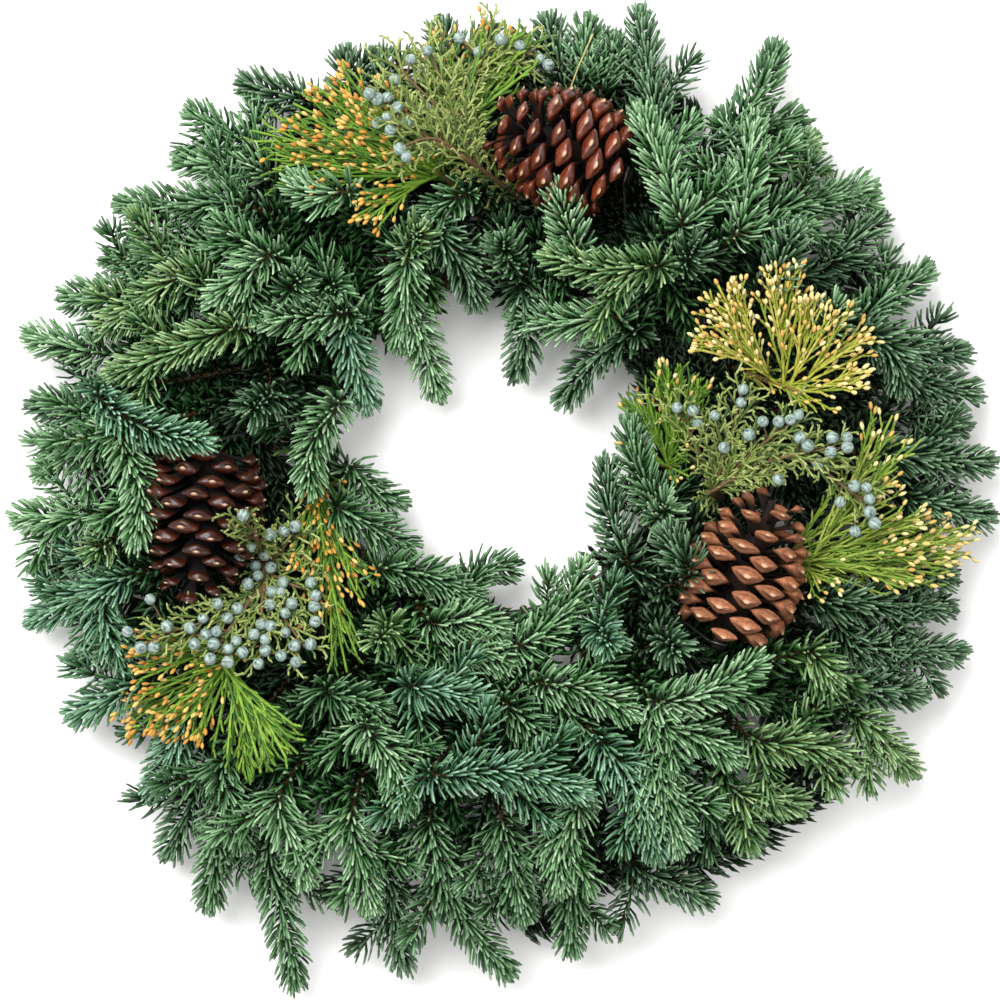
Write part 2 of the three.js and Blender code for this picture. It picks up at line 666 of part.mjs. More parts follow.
function twigPath(spray, fork, [x, y, layer = spray.layer, bend = 0], random) {
  const route = ({ side, lift }) => {
    const end = at(x, y, layer).add(vec(0, 0, lift));
    const across = end.clone().sub(fork);
    const left = vec(-across.y, across.x, 0).normalize();
    const sway = bend + (random - 0.5) * twigSway + side * 0.6;
    const middle = mix(fork, end, 0.5).addScaledVector(left, sway);
    return [fork, middle.setZ(middle.z + twigArch), end];
  };
  const lengths = (total) => [0, total * 0.5, total - twigEnd[0], total - twigEnd[1]];
  return bendClear(spray.name, route, lengths, twigRadius);
}

// Radii along a stem: thick where it lies on the frame, then slimmer towards its end.
function stemRadii(points, endRadius) {
  const slim = (i) => woodRadius + (endRadius - woodRadius) * (i / (points.length - 1));
  return points.map((_, i) => (i < 2 ? leaderRadius : slim(i)));
}

// The twigs of a spray leave the last stretch of its stem one after the other.
function twigs(spray, stem, radii) {
  const random = seededRandom(spray.slot);
  const fork = stem[stem.length - 1];
  return spray.ends.map((end, i) => {
    const root = mix(stem[stem.length - 2], fork, 0.3 + (0.65 * i) / (spray.ends.length - 1));
    const points = twigPath(spray, root, end, random());
    claimPath(spray.name, points, radii);
    return points;
  });
}

function cedarSpray(spray) {
  const stem = mainStem(spray, woodRadius);
  const radii = [1.2, twigRadius, twigRadius * 0.9, budRadius];
  const twigSkins = twigs(spray, stem, radii).map((twig) => skin(twig, radii));
  return joined([skin(stem, stemRadii(stem, woodRadius)), ...twigSkins]);
}

function juniperSpray(spray) {
  const stem = mainStem(spray, woodRadius);
  const radii = [1.2, 1.1, 0.9, 0.8];
  const solids = [skin(stem, stemRadii(stem, woodRadius))];
  twigs(spray, stem, radii).forEach((twig, i) => {
    solids.push(skin(twig, radii));
    solids.push(...berries(spray, twig, i));
  });
  return joined(solids);
}

// A berry at the end of a twig sits on it, and one further in stands on top of it.
function berries(spray, twig, index) {
  const curve = new THREE.CatmullRomCurve3(twig, false, "centripetal");
  const solids = [];
  for (const share of spray.berries[index]) {
    const lift = share < 1 ? berryRadius * 0.7 : 0;
    const centre = curve.getPointAt(share).add(vec(0, 0, lift));
    const own = (owner) => owner === spray.name;
    if (!isClear(centre, centre, berryRadius, berryRadius, seatGap, own)) continue;
    const berry = new THREE.IcosahedronGeometry(berryRadius, 0);
    berry.rotateZ(index);
    berry.translate(centre.x, centre.y, centre.z);
    solids.push(berry);
    occupy(spray.name, centre, centre.clone().setZ(centre.z + 0.1), berryRadius, berryRadius);
  }
  return solids;
}

// ---- fir bunches ----
function firLengths(start) {
  return (total) => {
    const last = total - tipInset;
    const bare = Math.min(Math.max(total - start, 0), last - 2 * whorlBand);
    const lengths = plainLengths(woodStep)(bare).slice(0, -1);
    const room = last - bare;
    const whorls = Math.max(1, Math.round(room / whorlStep));
    for (let i = 0; i < whorls; i++) {
      const foot = bare + (room * i) / whorls;
      lengths.push(foot, foot + whorlBand);
    }
    lengths.push(last);
    return lengths;
  };
}

const bunchName = ({ slot }) => `fir_bunch_${String(slot).padStart(2, "0")}`;

function firStem(bunch, row, rank) {
  const [x0, y0, x1, y1, layer, bow = 0, rise = 0] = row;
  const start = at(x0, y0, layer);
  const end = at(x1, y1, layer).add(vec(0, 0, rise));
  const seen = start.distanceTo(end) + Math.abs(bow) * 0.3;
  const owner = bunchName(bunch);
  const route = stemRoute(bunch.slot, start, end, rank, bow);
  const points = bendClear(owner, route, firLengths(seen), woodRadius);
  if (rank === 0) points.unshift(leaderEnds(bunch.slot, growsOutward(start))[0]);
  const radii = stemRadii(points, needleBase);
  claimPath(`${owner}/${rank}`, points, radii);
  return { owner, name: `${owner}/${rank}`, points, radii };
}

// Where a needle stands on its triangle: its foot, the way of the stem, the way out, and its lean.
function needleStand(points, corners, section) {
  const isEnd = section === points.length - 1;
  const next = points[Math.min(section + 1, points.length - 1)];
  const here = points[section];
  const before = points[Math.max(section - 1, 0)];
  if (!isEnd && Math.abs(here.distanceTo(next) - whorlBand) > whorlBand / 4) return null;
  const tangent = (isEnd ? here.clone().sub(before) : next.clone().sub(here)).normalize();
  const foot = corners.reduce((sum, corner) => sum.add(corner), vec(0, 0, 0)).multiplyScalar(1 / 3);
  const outward = foot.clone().sub(here);
  outward.addScaledVector(tangent, -outward.dot(tangent)).normalize();
  const share = section / (points.length - 1);
  return { foot, tangent, outward, lean: isEnd ? endLean : needleLean[0] - needleLean[1] * share };
}

// A needle leans forward along its tip, a little upwards, and is shortened or left out where it would touch.
function needleApex(stem, random) {
  const own = (owner) => owner === stem.name;
  return (corners, section) => {
    const stand = needleStand(stem.points, corners, section);
    if (!stand) return null;
    const { foot, tangent, outward, lean } = stand;
    for (const [stretch, twist] of needleTries) {
      const angle = lean + twist + (random() - 0.5) * needleSway;
      const direction = outward.clone().multiplyScalar(Math.sin(angle));
      direction.addScaledVector(tangent, Math.cos(angle));
      direction.z += needleRise;
      direction.normalize();
      const length = needleLength * stretch * (0.94 + random() * 0.12);
      const apex = foot.clone().addScaledVector(direction, length);
      if (apex.z < lowestNeedle) continue;
      if (!isClear(foot, apex, needleBase, needleTip, needleClearance, own)) continue;
      occupy(stem.name, foot, apex, needleBase, needleTip);
      return apex;
    }
    return null;
  };
}

// ---- the wreath ----
// Colour, roughness and metalness of each kind of piece.
const looks = {
  fir: ["#3f6b45", 0.6, 0],
  wire: ["#4a4f4b", 0.4, 0.9],
  cedar: ["#8c9a35", 0.6, 0],
  juniper: ["#6f8450", 0.6, 0],
  cone: ["#5a3a25", 0.5, 0],
};

function material([colour, roughness, metalness]) {
  return new THREE.MeshStandardMaterial({ color: colour, roughness, metalness, flatShading: true });
}

const wreath = new THREE.Group();

function add(name, geometry, look) {
  const mesh = new THREE.Mesh(geometry, material(look));
  mesh.name = name;
  wreath.add(mesh);
}

for (const bunch of [...firBunches, ...cedarSprays, ...juniperSprays]) {
  const [cut, leave] = leaderEnds(bunch.slot, true);
  occupy(bunch.name || bunchName(bunch), cut, leave, leaderRadius, leaderRadius);
}
add("wire_frame", wireFrame(), looks.wire);
for (const cone of pineCones) add(cone.name, pineCone(cone), looks.cone);
for (const cone of pineCones) add(`${cone.name}_tie`, coneTie(cone), looks.wire);
for (const spray of cedarSprays) add(spray.name, cedarSpray(spray), looks.cedar);
for (const spray of juniperSprays) add(spray.name, juniperSpray(spray), looks.juniper);

const firStems = firBunches.map((bunch) => bunch.tips.map((row, rank) => firStem(bunch, row, rank)));
const firRandom = seededRandom(11);
firStems.forEach((stems) => {
  const skins = stems.map((stem) => skin(stem.points, stem.radii, needleApex(stem, firRandom)));
  add(stems[0].owner, joined(skins), looks.fir);
});

// The origin is the middle of the whole wreath's box, on the surface that it lies on.
const box = new THREE.Box3().setFromObject(wreath);
const middle = box.getCenter(vec(0, 0, 0));
wreath.position.set(-middle.x, -middle.y, -box.min.z);

export default wreath;
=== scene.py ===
import math
import bpy
import numpy as np
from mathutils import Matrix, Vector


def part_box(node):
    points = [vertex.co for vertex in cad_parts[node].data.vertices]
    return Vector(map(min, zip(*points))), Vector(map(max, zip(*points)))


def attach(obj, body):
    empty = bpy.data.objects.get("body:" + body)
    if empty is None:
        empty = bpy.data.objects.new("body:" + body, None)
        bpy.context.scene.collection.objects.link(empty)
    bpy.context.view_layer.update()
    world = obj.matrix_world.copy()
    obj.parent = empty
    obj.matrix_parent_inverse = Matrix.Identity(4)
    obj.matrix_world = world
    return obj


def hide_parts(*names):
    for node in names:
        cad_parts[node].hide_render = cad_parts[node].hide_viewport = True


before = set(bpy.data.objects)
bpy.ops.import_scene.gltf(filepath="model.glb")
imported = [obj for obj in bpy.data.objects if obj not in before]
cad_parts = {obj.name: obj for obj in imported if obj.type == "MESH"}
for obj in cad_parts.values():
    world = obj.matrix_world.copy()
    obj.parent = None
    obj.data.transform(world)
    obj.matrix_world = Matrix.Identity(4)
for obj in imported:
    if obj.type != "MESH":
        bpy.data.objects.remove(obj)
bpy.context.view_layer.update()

# Lengths are in millimetres from the middle of the foliage, and place() turns them into the frame's metres.
wreath = {
    "frameCentre": (-6.0, 34.0),      # middle of the wire ring
    "foliageReach": 305.0,
    "holeReach": 75.0,
    "floorLift": 17.0,                # height of the lowest layer
    "rimRise": 15.0,                  # and of the top layer above it at the rim, and half way to the hole
    "moundRise": 62.0,
    "slotCount": 54,                  # places round the ring where a bunch is clamped
    "leaderSpan": (104.5, 153.5),     # the cut stem that lies across both rails
    "leaderHeights": (5.8301, 7.0301),
    "forkStep": 9.0,                  # the stems of a bunch leave its leader this far apart
    "topLayer": 0.9,
}
centreX, centreY = wreath["frameCentre"]
goldenTurn = math.radians(137.508)

low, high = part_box("wire_frame")
ringMiddle = (np.array(low) + np.array(high)) / 2 * 1000
shift = np.array([ringMiddle[0] - centreX, ringMiddle[1] - centreY, 0.0])


def place(points):
    return (np.asarray(points, float) + shift) / 1000


# ---- small vector helpers ----
def unit(v):
    v = np.asarray(v, float)
    return v / np.maximum(np.linalg.norm(v, axis=-1, keepdims=True), 1e-9)


def mixed(a, b, t):
    return np.asarray(a, float) * (1 - t) + np.asarray(b, float) * t


def onRing(radius, angle, z):
    return np.array([centreX + radius * math.cos(angle), centreY + radius * math.sin(angle), z])


def angleRound(x, y):
    return math.atan2(y - centreY, x - centreX)


# Height of a foliage layer: low at the hole and at the rim, high half way between.
def layerHeight(x, y, layer):
    fromHole = np.maximum(np.hypot(x - centreX, y - centreY) - wreath["holeReach"], 0)
    fromRim = np.maximum(wreath["foliageReach"] - np.hypot(x, y), 0)
    out = fromHole / np.maximum(fromHole + fromRim, 1)
    return wreath["floorLift"] + layer * (wreath["rimRise"] + wreath["moundRise"] * 4 * out * (1 - out))


def at(x, y, layer):
    return np.array([x, y, layerHeight(x, y, layer)])


# For each of the first points, how far away the nearest of the second ones is.
def nearest(points, others):
    return np.linalg.norm(points[:, None] - others[None], axis=2).min(1)


# ---- curves ----
# A centripetal curve through the points, known by its length: the point at share t of a span is a cubic whose
# end slopes come from the neighbouring points, weighted by the square roots of the gaps between them.
class Curve:
    def __init__(self, path, steps=120):
        p = np.asarray(path, float)
        self.p = np.vstack([2 * p[0] - p[1], p, 2 * p[-1] - p[-2]])
        self.spans = len(p) - 1
        self.t = np.linspace(0, 1, steps + 1)
        dense = self.atShare(self.t)
        self.lengths = np.concatenate([[0], np.cumsum(np.linalg.norm(np.diff(dense, axis=0), axis=1))])
        self.total = self.lengths[-1]

    def atShare(self, t):
        along = np.clip(np.asarray(t, float), 0, 1) * self.spans
        i = np.minimum(along.astype(int), self.spans - 1)
        w = (along - i)[:, None]
        x0, x1, x2, x3 = (self.p[i + k] for k in range(4))
        gaps = ((x0, x1), (x1, x2), (x2, x3))
        d0, d1, d2 = (np.sqrt(np.linalg.norm(b - a, axis=1))[:, None] for a, b in gaps)
        s1 = ((x1 - x0) / d0 - (x2 - x0) / (d0 + d1) + (x2 - x1) / d1) * d1
        s2 = ((x2 - x1) / d1 - (x3 - x1) / (d1 + d2) + (x3 - x2) / d2) * d1
        return x1 + w * (s1 + w * (-3 * x1 + 3 * x2 - 2 * s1 - s2 + w * (2 * x1 - 2 * x2 + s1 + s2)))

    def atLength(self, s):
        return self.atShare(np.interp(s, self.lengths, self.t))

    def tangentAt(self, s):
        s = np.asarray(s, float)
        return unit(self.atLength(np.minimum(s + 1, self.total)) - self.atLength(np.maximum(s - 1, 0)))


# ---- meshes from arrays ----
# Each piece's own map is cut into upright strips, one for each tone.
stripCount = 24
stripMargin = 0.002


def strip(number):
    return number / stripCount + stripMargin, (number + 1) / stripCount - stripMargin


# Collects rings of vertices and their faces, each face with its corners on the piece's own map.
class Shape:
    def __init__(self):
        self.vertices = []
        self.faces = []
        self.count = 0

    def add(self, vertices, groups, look=0):
        for faces, corners in groups:
            self.faces.append((faces + self.count, corners, look))
        self.vertices.append(vertices)
        self.count += len(vertices)

    def build(self, name, materials):
        mesh = bpy.data.meshes.new(name)
        vertices = place(np.vstack(self.vertices))
        loops = np.concatenate([faces.ravel() for faces, corners, look in self.faces])
        totals = np.concatenate([np.full(len(faces), faces.shape[1]) for faces, corners, look in self.faces])
        corners = np.concatenate([corners.reshape(-1, 2) for faces, corners, look in self.faces])
        looks = np.concatenate([np.full(len(faces), look) for faces, corners, look in self.faces])
        mesh.vertices.add(len(vertices))
        mesh.loops.add(len(loops))
        mesh.polygons.add(len(totals))
        mesh.vertices.foreach_set("co", vertices.astype(np.float32).ravel())
        mesh.loops.foreach_set("vertex_index", loops.astype(np.int32))
        mesh.polygons.foreach_set("loop_start", (np.cumsum(totals) - totals).astype(np.int32))
        mesh.polygons.foreach_set("material_index", looks.astype(np.int32))
        mesh.polygons.foreach_set("use_smooth", np.ones(len(totals), bool))
        mesh.uv_layers.new(name="OFBake").data.foreach_set("uv", corners.astype(np.float32).ravel())
        mesh.update(calc_edges=True)
        for material in materials:
            mesh.materials.append(material)
        piece = bpy.data.objects.new(name, mesh)
        bpy.context.scene.collection.objects.link(piece)
        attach(piece, "root")
        return piece


# Faces between rings that follow one another, and their corners: u goes round a ring and v along the body.
def wallFaces(rings, sides):
    j = np.arange(sides)
    k = (j + 1) % sides
    r = np.arange(rings - 1)[:, None] * sides
    return np.stack([r + j, r + k, r + sides + k, r + sides + j], -1).reshape(-1, 4)


def wallCorners(u, v):
    corners = np.empty((len(v) - 1, len(u) - 1, 4, 2))
    corners[..., 0] = np.stack([u[:-1], u[1:], u[1:], u[:-1]], -1)
    corners[..., 1] = np.stack([v[:-1], v[:-1], v[1:], v[1:]], -1)[:, None]
    return corners.reshape(-1, 4, 2)


# Faces that close the last ring with a point, and their corners between two heights of the map.
def tipFaces(rings, sides, tip):
    j = np.arange(sides)
    return np.stack([(rings - 1) * sides + j, (rings - 1) * sides + (j + 1) % sides, np.full(sides, tip)], -1)


def tipCorners(u, edge, tip):
    corners = np.empty((len(u) - 1, 3, 2))
    corners[..., 0] = np.stack([u[:-1], u[1:], (u[:-1] + u[1:]) / 2], -1)
    corners[..., 1] = (edge, edge, tip)
    return corners


# A tube along points: at each point a ring of radius r round the path, r varying with the point, and a low
# pointed cap at each end. Where thick isn't 1 the rings are ellipses, so much higher than wide.
def tube(shape, points, radii, sides, across=(0, 1), along=(0, 1), thick=1.0, up=(0, 0, 1)):
    points = np.asarray(points, float)
    n = len(points)
    radii = np.broadcast_to(radii, (n,)).astype(float)
    tangent = unit(np.vstack([points[1] - points[0], points[2:] - points[:-2], points[-1] - points[-2]]))
    normal = np.broadcast_to(np.asarray(up, float), (n, 3))
    normal = unit(normal - (normal * tangent).sum(1, keepdims=True) * tangent + 1e-6)
    side = np.cross(normal, tangent)
    turn = 2 * np.pi * np.arange(sides) / sides
    around = (np.cos(turn)[None, :, None] * side[:, None]
              + thick * np.sin(turn)[None, :, None] * normal[:, None])
    rings = points[:, None] + radii[:, None, None] * around
    capRise = 0.6
    ends = [points[0] - tangent[0] * radii[0] * capRise, points[-1] + tangent[-1] * radii[-1] * capRise]
    u = np.linspace(*across, sides + 1)
    v = mixed(*along, np.linspace(0.04, 0.96, n))
    shape.add(np.vstack([rings.reshape(-1, 3), *ends]), [
        (wallFaces(n, sides), wallCorners(u, v)),
        (tipFaces(1, sides, n * sides)[:, [1, 0, 2]], tipCorners(u, v[0], along[0])[:, [1, 0, 2]]),
        (tipFaces(n, sides, n * sides + 1), tipCorners(u, v[-1], along[1]))])


# Many bodies of one make. Each is rings of vertices from a flat foot to a pointed tip, at the given shares of
# its length, and each lies on its own strip of the map.
def bodies(shape, rings, tips, shares, turn, strips, look=0, margin=0.06, height=0.94):
    count, n, sides = rings.shape[:3]
    vertices = np.concatenate([rings.reshape(count, n * sides, 3), tips[:, None]], 1)
    u = margin + (1 - 2 * margin) * np.arange(sides + 1) / sides
    v = 0.03 + height * np.asarray(shares)
    foot = np.stack([0.5 + 0.4 * np.cos(turn), 0.015 + 0.014 * np.sin(turn)], -1)[None]
    step = (n * sides + 1) * np.arange(count)[:, None, None]
    groups = []
    for faces, corners in ((wallFaces(n, sides), wallCorners(u, v)),
                           (tipFaces(n, sides, n * sides), tipCorners(u, v[-1], 0.99)),
                           (np.arange(sides)[None, ::-1], foot)):
        every = np.broadcast_to(corners, (count,) + corners.shape).copy()
        every[..., 0] = (strips[:, None, None] + every[..., 0]) / stripCount
        groups.append(((faces + step).reshape(-1, faces.shape[1]), every.reshape(-1, faces.shape[1], 2)))
    shape.add(vertices.reshape(-1, 3), groups, look)


# The same small body set down many times. Its middle line is base + length * (t * direction + t^2 * bend),
# and round it lie ellipses of side and lift, each with its share of the length and of the width.
def scatter(shape, base, direction, bend, side, length, width, strips, rings, sides=3, thick=0.7, look=0,
            tip=1.0):
    t, wide = np.array(rings, float).T
    side = unit(side - (side * direction).sum(1, keepdims=True) * direction)
    lift = np.cross(direction, side)
    turn = 2 * np.pi * (np.arange(sides) + 0.25) / sides
    middle = base[:, None] + length[:, None, None] * (
        t[None, :, None] * direction[:, None] + (t ** 2)[None, :, None] * bend[:, None])
    around = np.cos(turn)[None, :, None] * side[:, None] + thick * np.sin(turn)[None, :, None] * lift[:, None]
    body = middle[:, :, None] + (width / 2)[:, None, None, None] * wide[None, :, None, None] * around[:, None]
    tips = base + length[:, None] * (tip * direction + tip ** 2 * bend)
    bodies(shape, body, tips, t, turn, strips, look)


# ---- materials ----
def linear(r, g, b, gain=1.0):
    c = np.array([r, g, b]) / 255
    c = np.where(c <= 0.04045, c / 12.92, ((c + 0.055) / 1.055) ** 2.4) * gain
    return (*np.clip(c, 0, 1), 1.0)


# A socket that can be added, multiplied and so on; each operation makes its Math node.
class Value:
    def __init__(self, finish, socket):
        self.finish = finish
        self.socket = socket

    def math(self, operation, *others, clamp=False):
        return self.finish.number(operation, self, *others, clamp=clamp)

    def __add__(self, other):
        return self.math("ADD", other)

    def __sub__(self, other):
        return self.math("SUBTRACT", other)

    def __rsub__(self, other):
        return self.finish.number("SUBTRACT", other, self)

    def __mul__(self, other):
        return self.math("MULTIPLY", other)

    __radd__ = __add__
    __rmul__ = __mul__

    # 0 below a, 1 above b, straight between
    def rise(self, a, b):
        return (self - a).math("DIVIDE", b - a, clamp=True)


class Finish:
    def __init__(self, name):
        self.material = bpy.data.materials.new(name)
        self.material.use_nodes = True
        self.tree = self.material.node_tree
        self.shader = self.tree.nodes["Principled BSDF"]

    # Makes a node: its settings first (a ramp's stops are position and colour pairs), then its sockets.
    def node(self, kind, settings=None, sockets=None, out=0):
        node = self.tree.nodes.new(kind)
        for key, value in (settings or {}).items():
            if key == "stops":
                ramp = node.color_ramp
                ramp.interpolation = "CONSTANT"
                while len(ramp.elements) < len(value):
                    ramp.elements.new(1.0)
                for element, (position, colour) in zip(ramp.elements, value):
                    element.position = position
                for element, (position, colour) in zip(ramp.elements, value):
                    element.color = colour
            else:
                setattr(node, key, value)
        self.feed(node, sockets or {})
        return Value(self, node.outputs[out])

    def feed(self, node, sockets):
        for key, value in sockets.items():
            if isinstance(value, Value):
                self.tree.links.new(value.socket, node.inputs[key])
            else:
                node.inputs[key].default_value = value

    def number(self, operation, *values, clamp=False):
        settings = {"operation": operation, "use_clamp": clamp}
        return self.node("ShaderNodeMath", settings, dict(enumerate(values)))

    def mix(self, factor, a, b, blend="MIX"):
        settings = {"data_type": "RGBA", "blend_type": blend}
        return self.node("ShaderNodeMix", settings, {0: factor, 6: a, 7: b}, out=2)

    # A colour for each strip of the map, the same all over it.
    def byStrip(self, u, colours):
        stops = [(i / stripCount, colour) for i, colour in enumerate(colours)]
        return self.node("ShaderNodeValToRGB", {"stops": stops}, {0: u})

    # The piece's own map, with its u and v.
    def ownMap(self):
        uv = self.node("ShaderNodeUVMap", {"uv_map": "OFBake"})
        u = self.node("ShaderNodeSeparateXYZ", {}, {0: uv})
        return uv, u, Value(self, u.socket.node.outputs[1])

    # Noise on a map that is first stretched.
    def noise(self, vector, x, y, scale, detail=3.0, roughness=0.55):
        stretched = self.node("ShaderNodeMapping", {}, {"Vector": vector, "Scale": (x, y, 1.0)})
        sockets = {"Vector": stretched, "Scale": scale, "Detail": detail, "Roughness": roughness}
        return self.node("ShaderNodeTexNoise", {}, sockets)

    # The colour, darkened here and there by a grain.
    def grained(self, colour, grain, darkest):
        shade = self.mix(grain, (darkest, darkest, darkest, 1), (1, 1, 1, 1))
        return self.mix(0.5, colour, shade, "MULTIPLY")

    def bump(self, height, strength, distance):
        sockets = {"Height": height, "Strength": strength, "Distance": distance}
        self.feed(self.shader, {"Normal": self.node("ShaderNodeBump", {}, sockets)})

    def set(self, **sockets):
        self.feed(self.shader, {key.replace("_", " "): value for key, value in sockets.items()})
        return self.material


# ---- stems, on the same routes as the frame's ----
stemPlan = {
    "firstRise": 9.0,                 # a stem that leaves its leader further back starts upwards
    "firstStep": 14.0,
    "middleRise": 6.0,                # half way along it lies at least this far above its leader
    "sides": (0, 9, -9, 18, -18, 27, -27),
    "lifts": (0, 5, -5, 10, -10, 15, -15, 20, 26),
    "firRadius": 1.4,
    "sprayRadius": 1.5,
    "twigRadius": 1.0,
    "forkDrop": 0.72,
}


def leaderEnds(slot, outward):
    angle = slot * 2 * math.pi / wreath["slotCount"]
    near, far = wreath["leaderSpan"] if outward else wreath["leaderSpan"][::-1]
    return onRing(near, angle, wreath["leaderHeights"][0]), onRing(far, angle, wreath["leaderHeights"][1])


def growsOutward(point):
    return math.hypot(point[0] - centreX, point[1] - centreY) > sum(wreath["leaderSpan"]) / 2


# A stem leaves its leader, rises through a point half way, and passes through the two ends of its seen part.
def stemRoute(slot, start, end, rank, bow):
    way = 1 if growsOutward(start) else -1
    edge = wreath["leaderSpan"][1] if way > 0 else wreath["leaderSpan"][0]
    angle = slot * 2 * math.pi / wreath["slotCount"]
    z = wreath["leaderHeights"][1]
    along = unit((end - start) * (1, 1, 0))
    left = np.array([-along[1], along[0], 0])
    foot = edge - way * wreath["forkStep"] * rank
    first = [onRing(foot, angle, z)]
    if rank:
        first.append(onRing(foot + way * stemPlan["firstStep"], angle, z + stemPlan["firstRise"]))

    def route(side, lift):
        s, e = start + (0, 0, lift), end + (0, 0, lift)
        across = unit(np.array([first[-1][1] - s[1], s[0] - first[-1][0], 0]))
        half = mixed(first[-1], s, 0.5) + across * side
        half[2] = max(half[2], z + stemPlan["middleRise"]) + lift * 0.5
        return [*first, half, s, mixed(s, e, 0.5) + left * bow, e]

    return route


def plainLengths(total, step=48):
    return np.linspace(0, total, max(2, round(total / step)) + 1)


# Lengths at which the frame's fir stems have their sections: plain at first, then in pairs at every whorl.
def firLengths(seen):
    def lengths(total):
        last = total - 13
        bare = min(max(total - seen, 0), last - 4.8)
        whorls = max(1, round((last - bare) / 22))
        feet = bare + (last - bare) * np.arange(whorls) / whorls
        return np.concatenate([plainLengths(bare)[:-1], np.stack([feet, feet + 2.4], 1).ravel(), [last]])
    return lengths


# Each stem could bend aside in several ways: the one whose sections lie on the node's skin is the frame's.
def framedCurve(skin, route, lengths, radius):
    best, bestMiss = None, 1e9
    for side in stemPlan["sides"]:
        for lift in stemPlan["lifts"]:
            curve = Curve(route(side, lift))
            sections = curve.atLength(lengths(curve.total))[1:]
            miss = np.median(np.abs(nearest(sections, skin) - radius))
            if miss < bestMiss:
                best, bestMiss = curve, miss
    return best, bestMiss


def nodeSkin(name):
    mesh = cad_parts[name].data
    points = np.zeros(len(mesh.vertices) * 3, np.float32)
    mesh.vertices.foreach_get("co", points)
    return np.unique(points.reshape(-1, 3).round(6), axis=0) * 1000 - shift


# ---- what lies on the fir: sprays of cedar and juniper, and the cones ----
# A spray has its slot on the ring, the place where its stem forks, its layer, and the ends of its twigs: x,
# y and, for some, a layer of their own and a bow. A cedar also has the colours of its leaves and buds, the
# share of its tips that have buds, how far apart its shoots stand ("every"), and how far from the ends of some
# twigs, at least and at most, their buds stand ("buds").
cedarSprays = {
    "cedar_spray_top": {
        "slot": 14, "fork": (-44, 206), "layer": 0.95, "leaf": "greens", "bud": "golds", "share": 0.8,
        "ends": [(-158, 231), (-150, 212), (-132, 248), (-112, 262), (-92, 240), (-90, 176), (-38, 292, 0.6),
                 (-6, 303, 0.6), (20, 296, 0.6)],
        "buds": {0: (26, 200), 1: (24, 200), 2: (14, 200), 6: (0, 26), 7: (0, 26), 8: (200, 200)}},
    "cedar_spray_right": {
        "slot": 3, "fork": (186, 66), "layer": 1, "leaf": "yellows", "bud": "straws", "share": 0.9,
        "every": 4.6,
        "ends": [(132, 132), (118, 101), (168, 142), (190, 128), (226, 104), (222, 76)]},
    "cedar_spray_far_right": {
        "slot": 50, "fork": (192, -42), "layer": 0.9, "leaf": "limes", "bud": "straws", "share": 0.5,
        "ends": [(245, 20), (262, -10), (288, -18), (297, -26), (284, -36), (258, -50), (206, -52),
                 (242, 52)],
        "buds": {twig: (0, 34) for twig in range(8)}},
    "cedar_spray_inner_right": {
        "slot": 53, "fork": (106, 20), "layer": 0.5, "leaf": "greens", "bud": "straws", "share": 0.12,
        "every": 2.6,
        "ends": [(103, 86), (124, 76), (76, 64), (82, 40)]},
    "cedar_spray_inner_left": {
        "slot": 27, "fork": (-118, 14), "layer": 0.7, "leaf": "greens", "bud": "golds", "share": 0.8,
        "ends": [(-112, 4), (-108, -44), (-88, -62), (-98, -108)],
        "buds": {1: (12, 200), 2: (16, 200), 3: (40, 200)}},
    "cedar_spray_left": {
        "slot": 33, "fork": (-178, -104), "layer": 0.85, "leaf": "greens", "bud": "golds", "share": 0.85,
        "every": 5.0,
        "ends": [(-232, -98), (-236, -138), (-212, -150), (-190, -148), (-158, -178), (-142, -166),
                 (-128, -158)],
        "buds": {4: (200, 200), 5: (200, 200), 6: (200, 200)}},
}
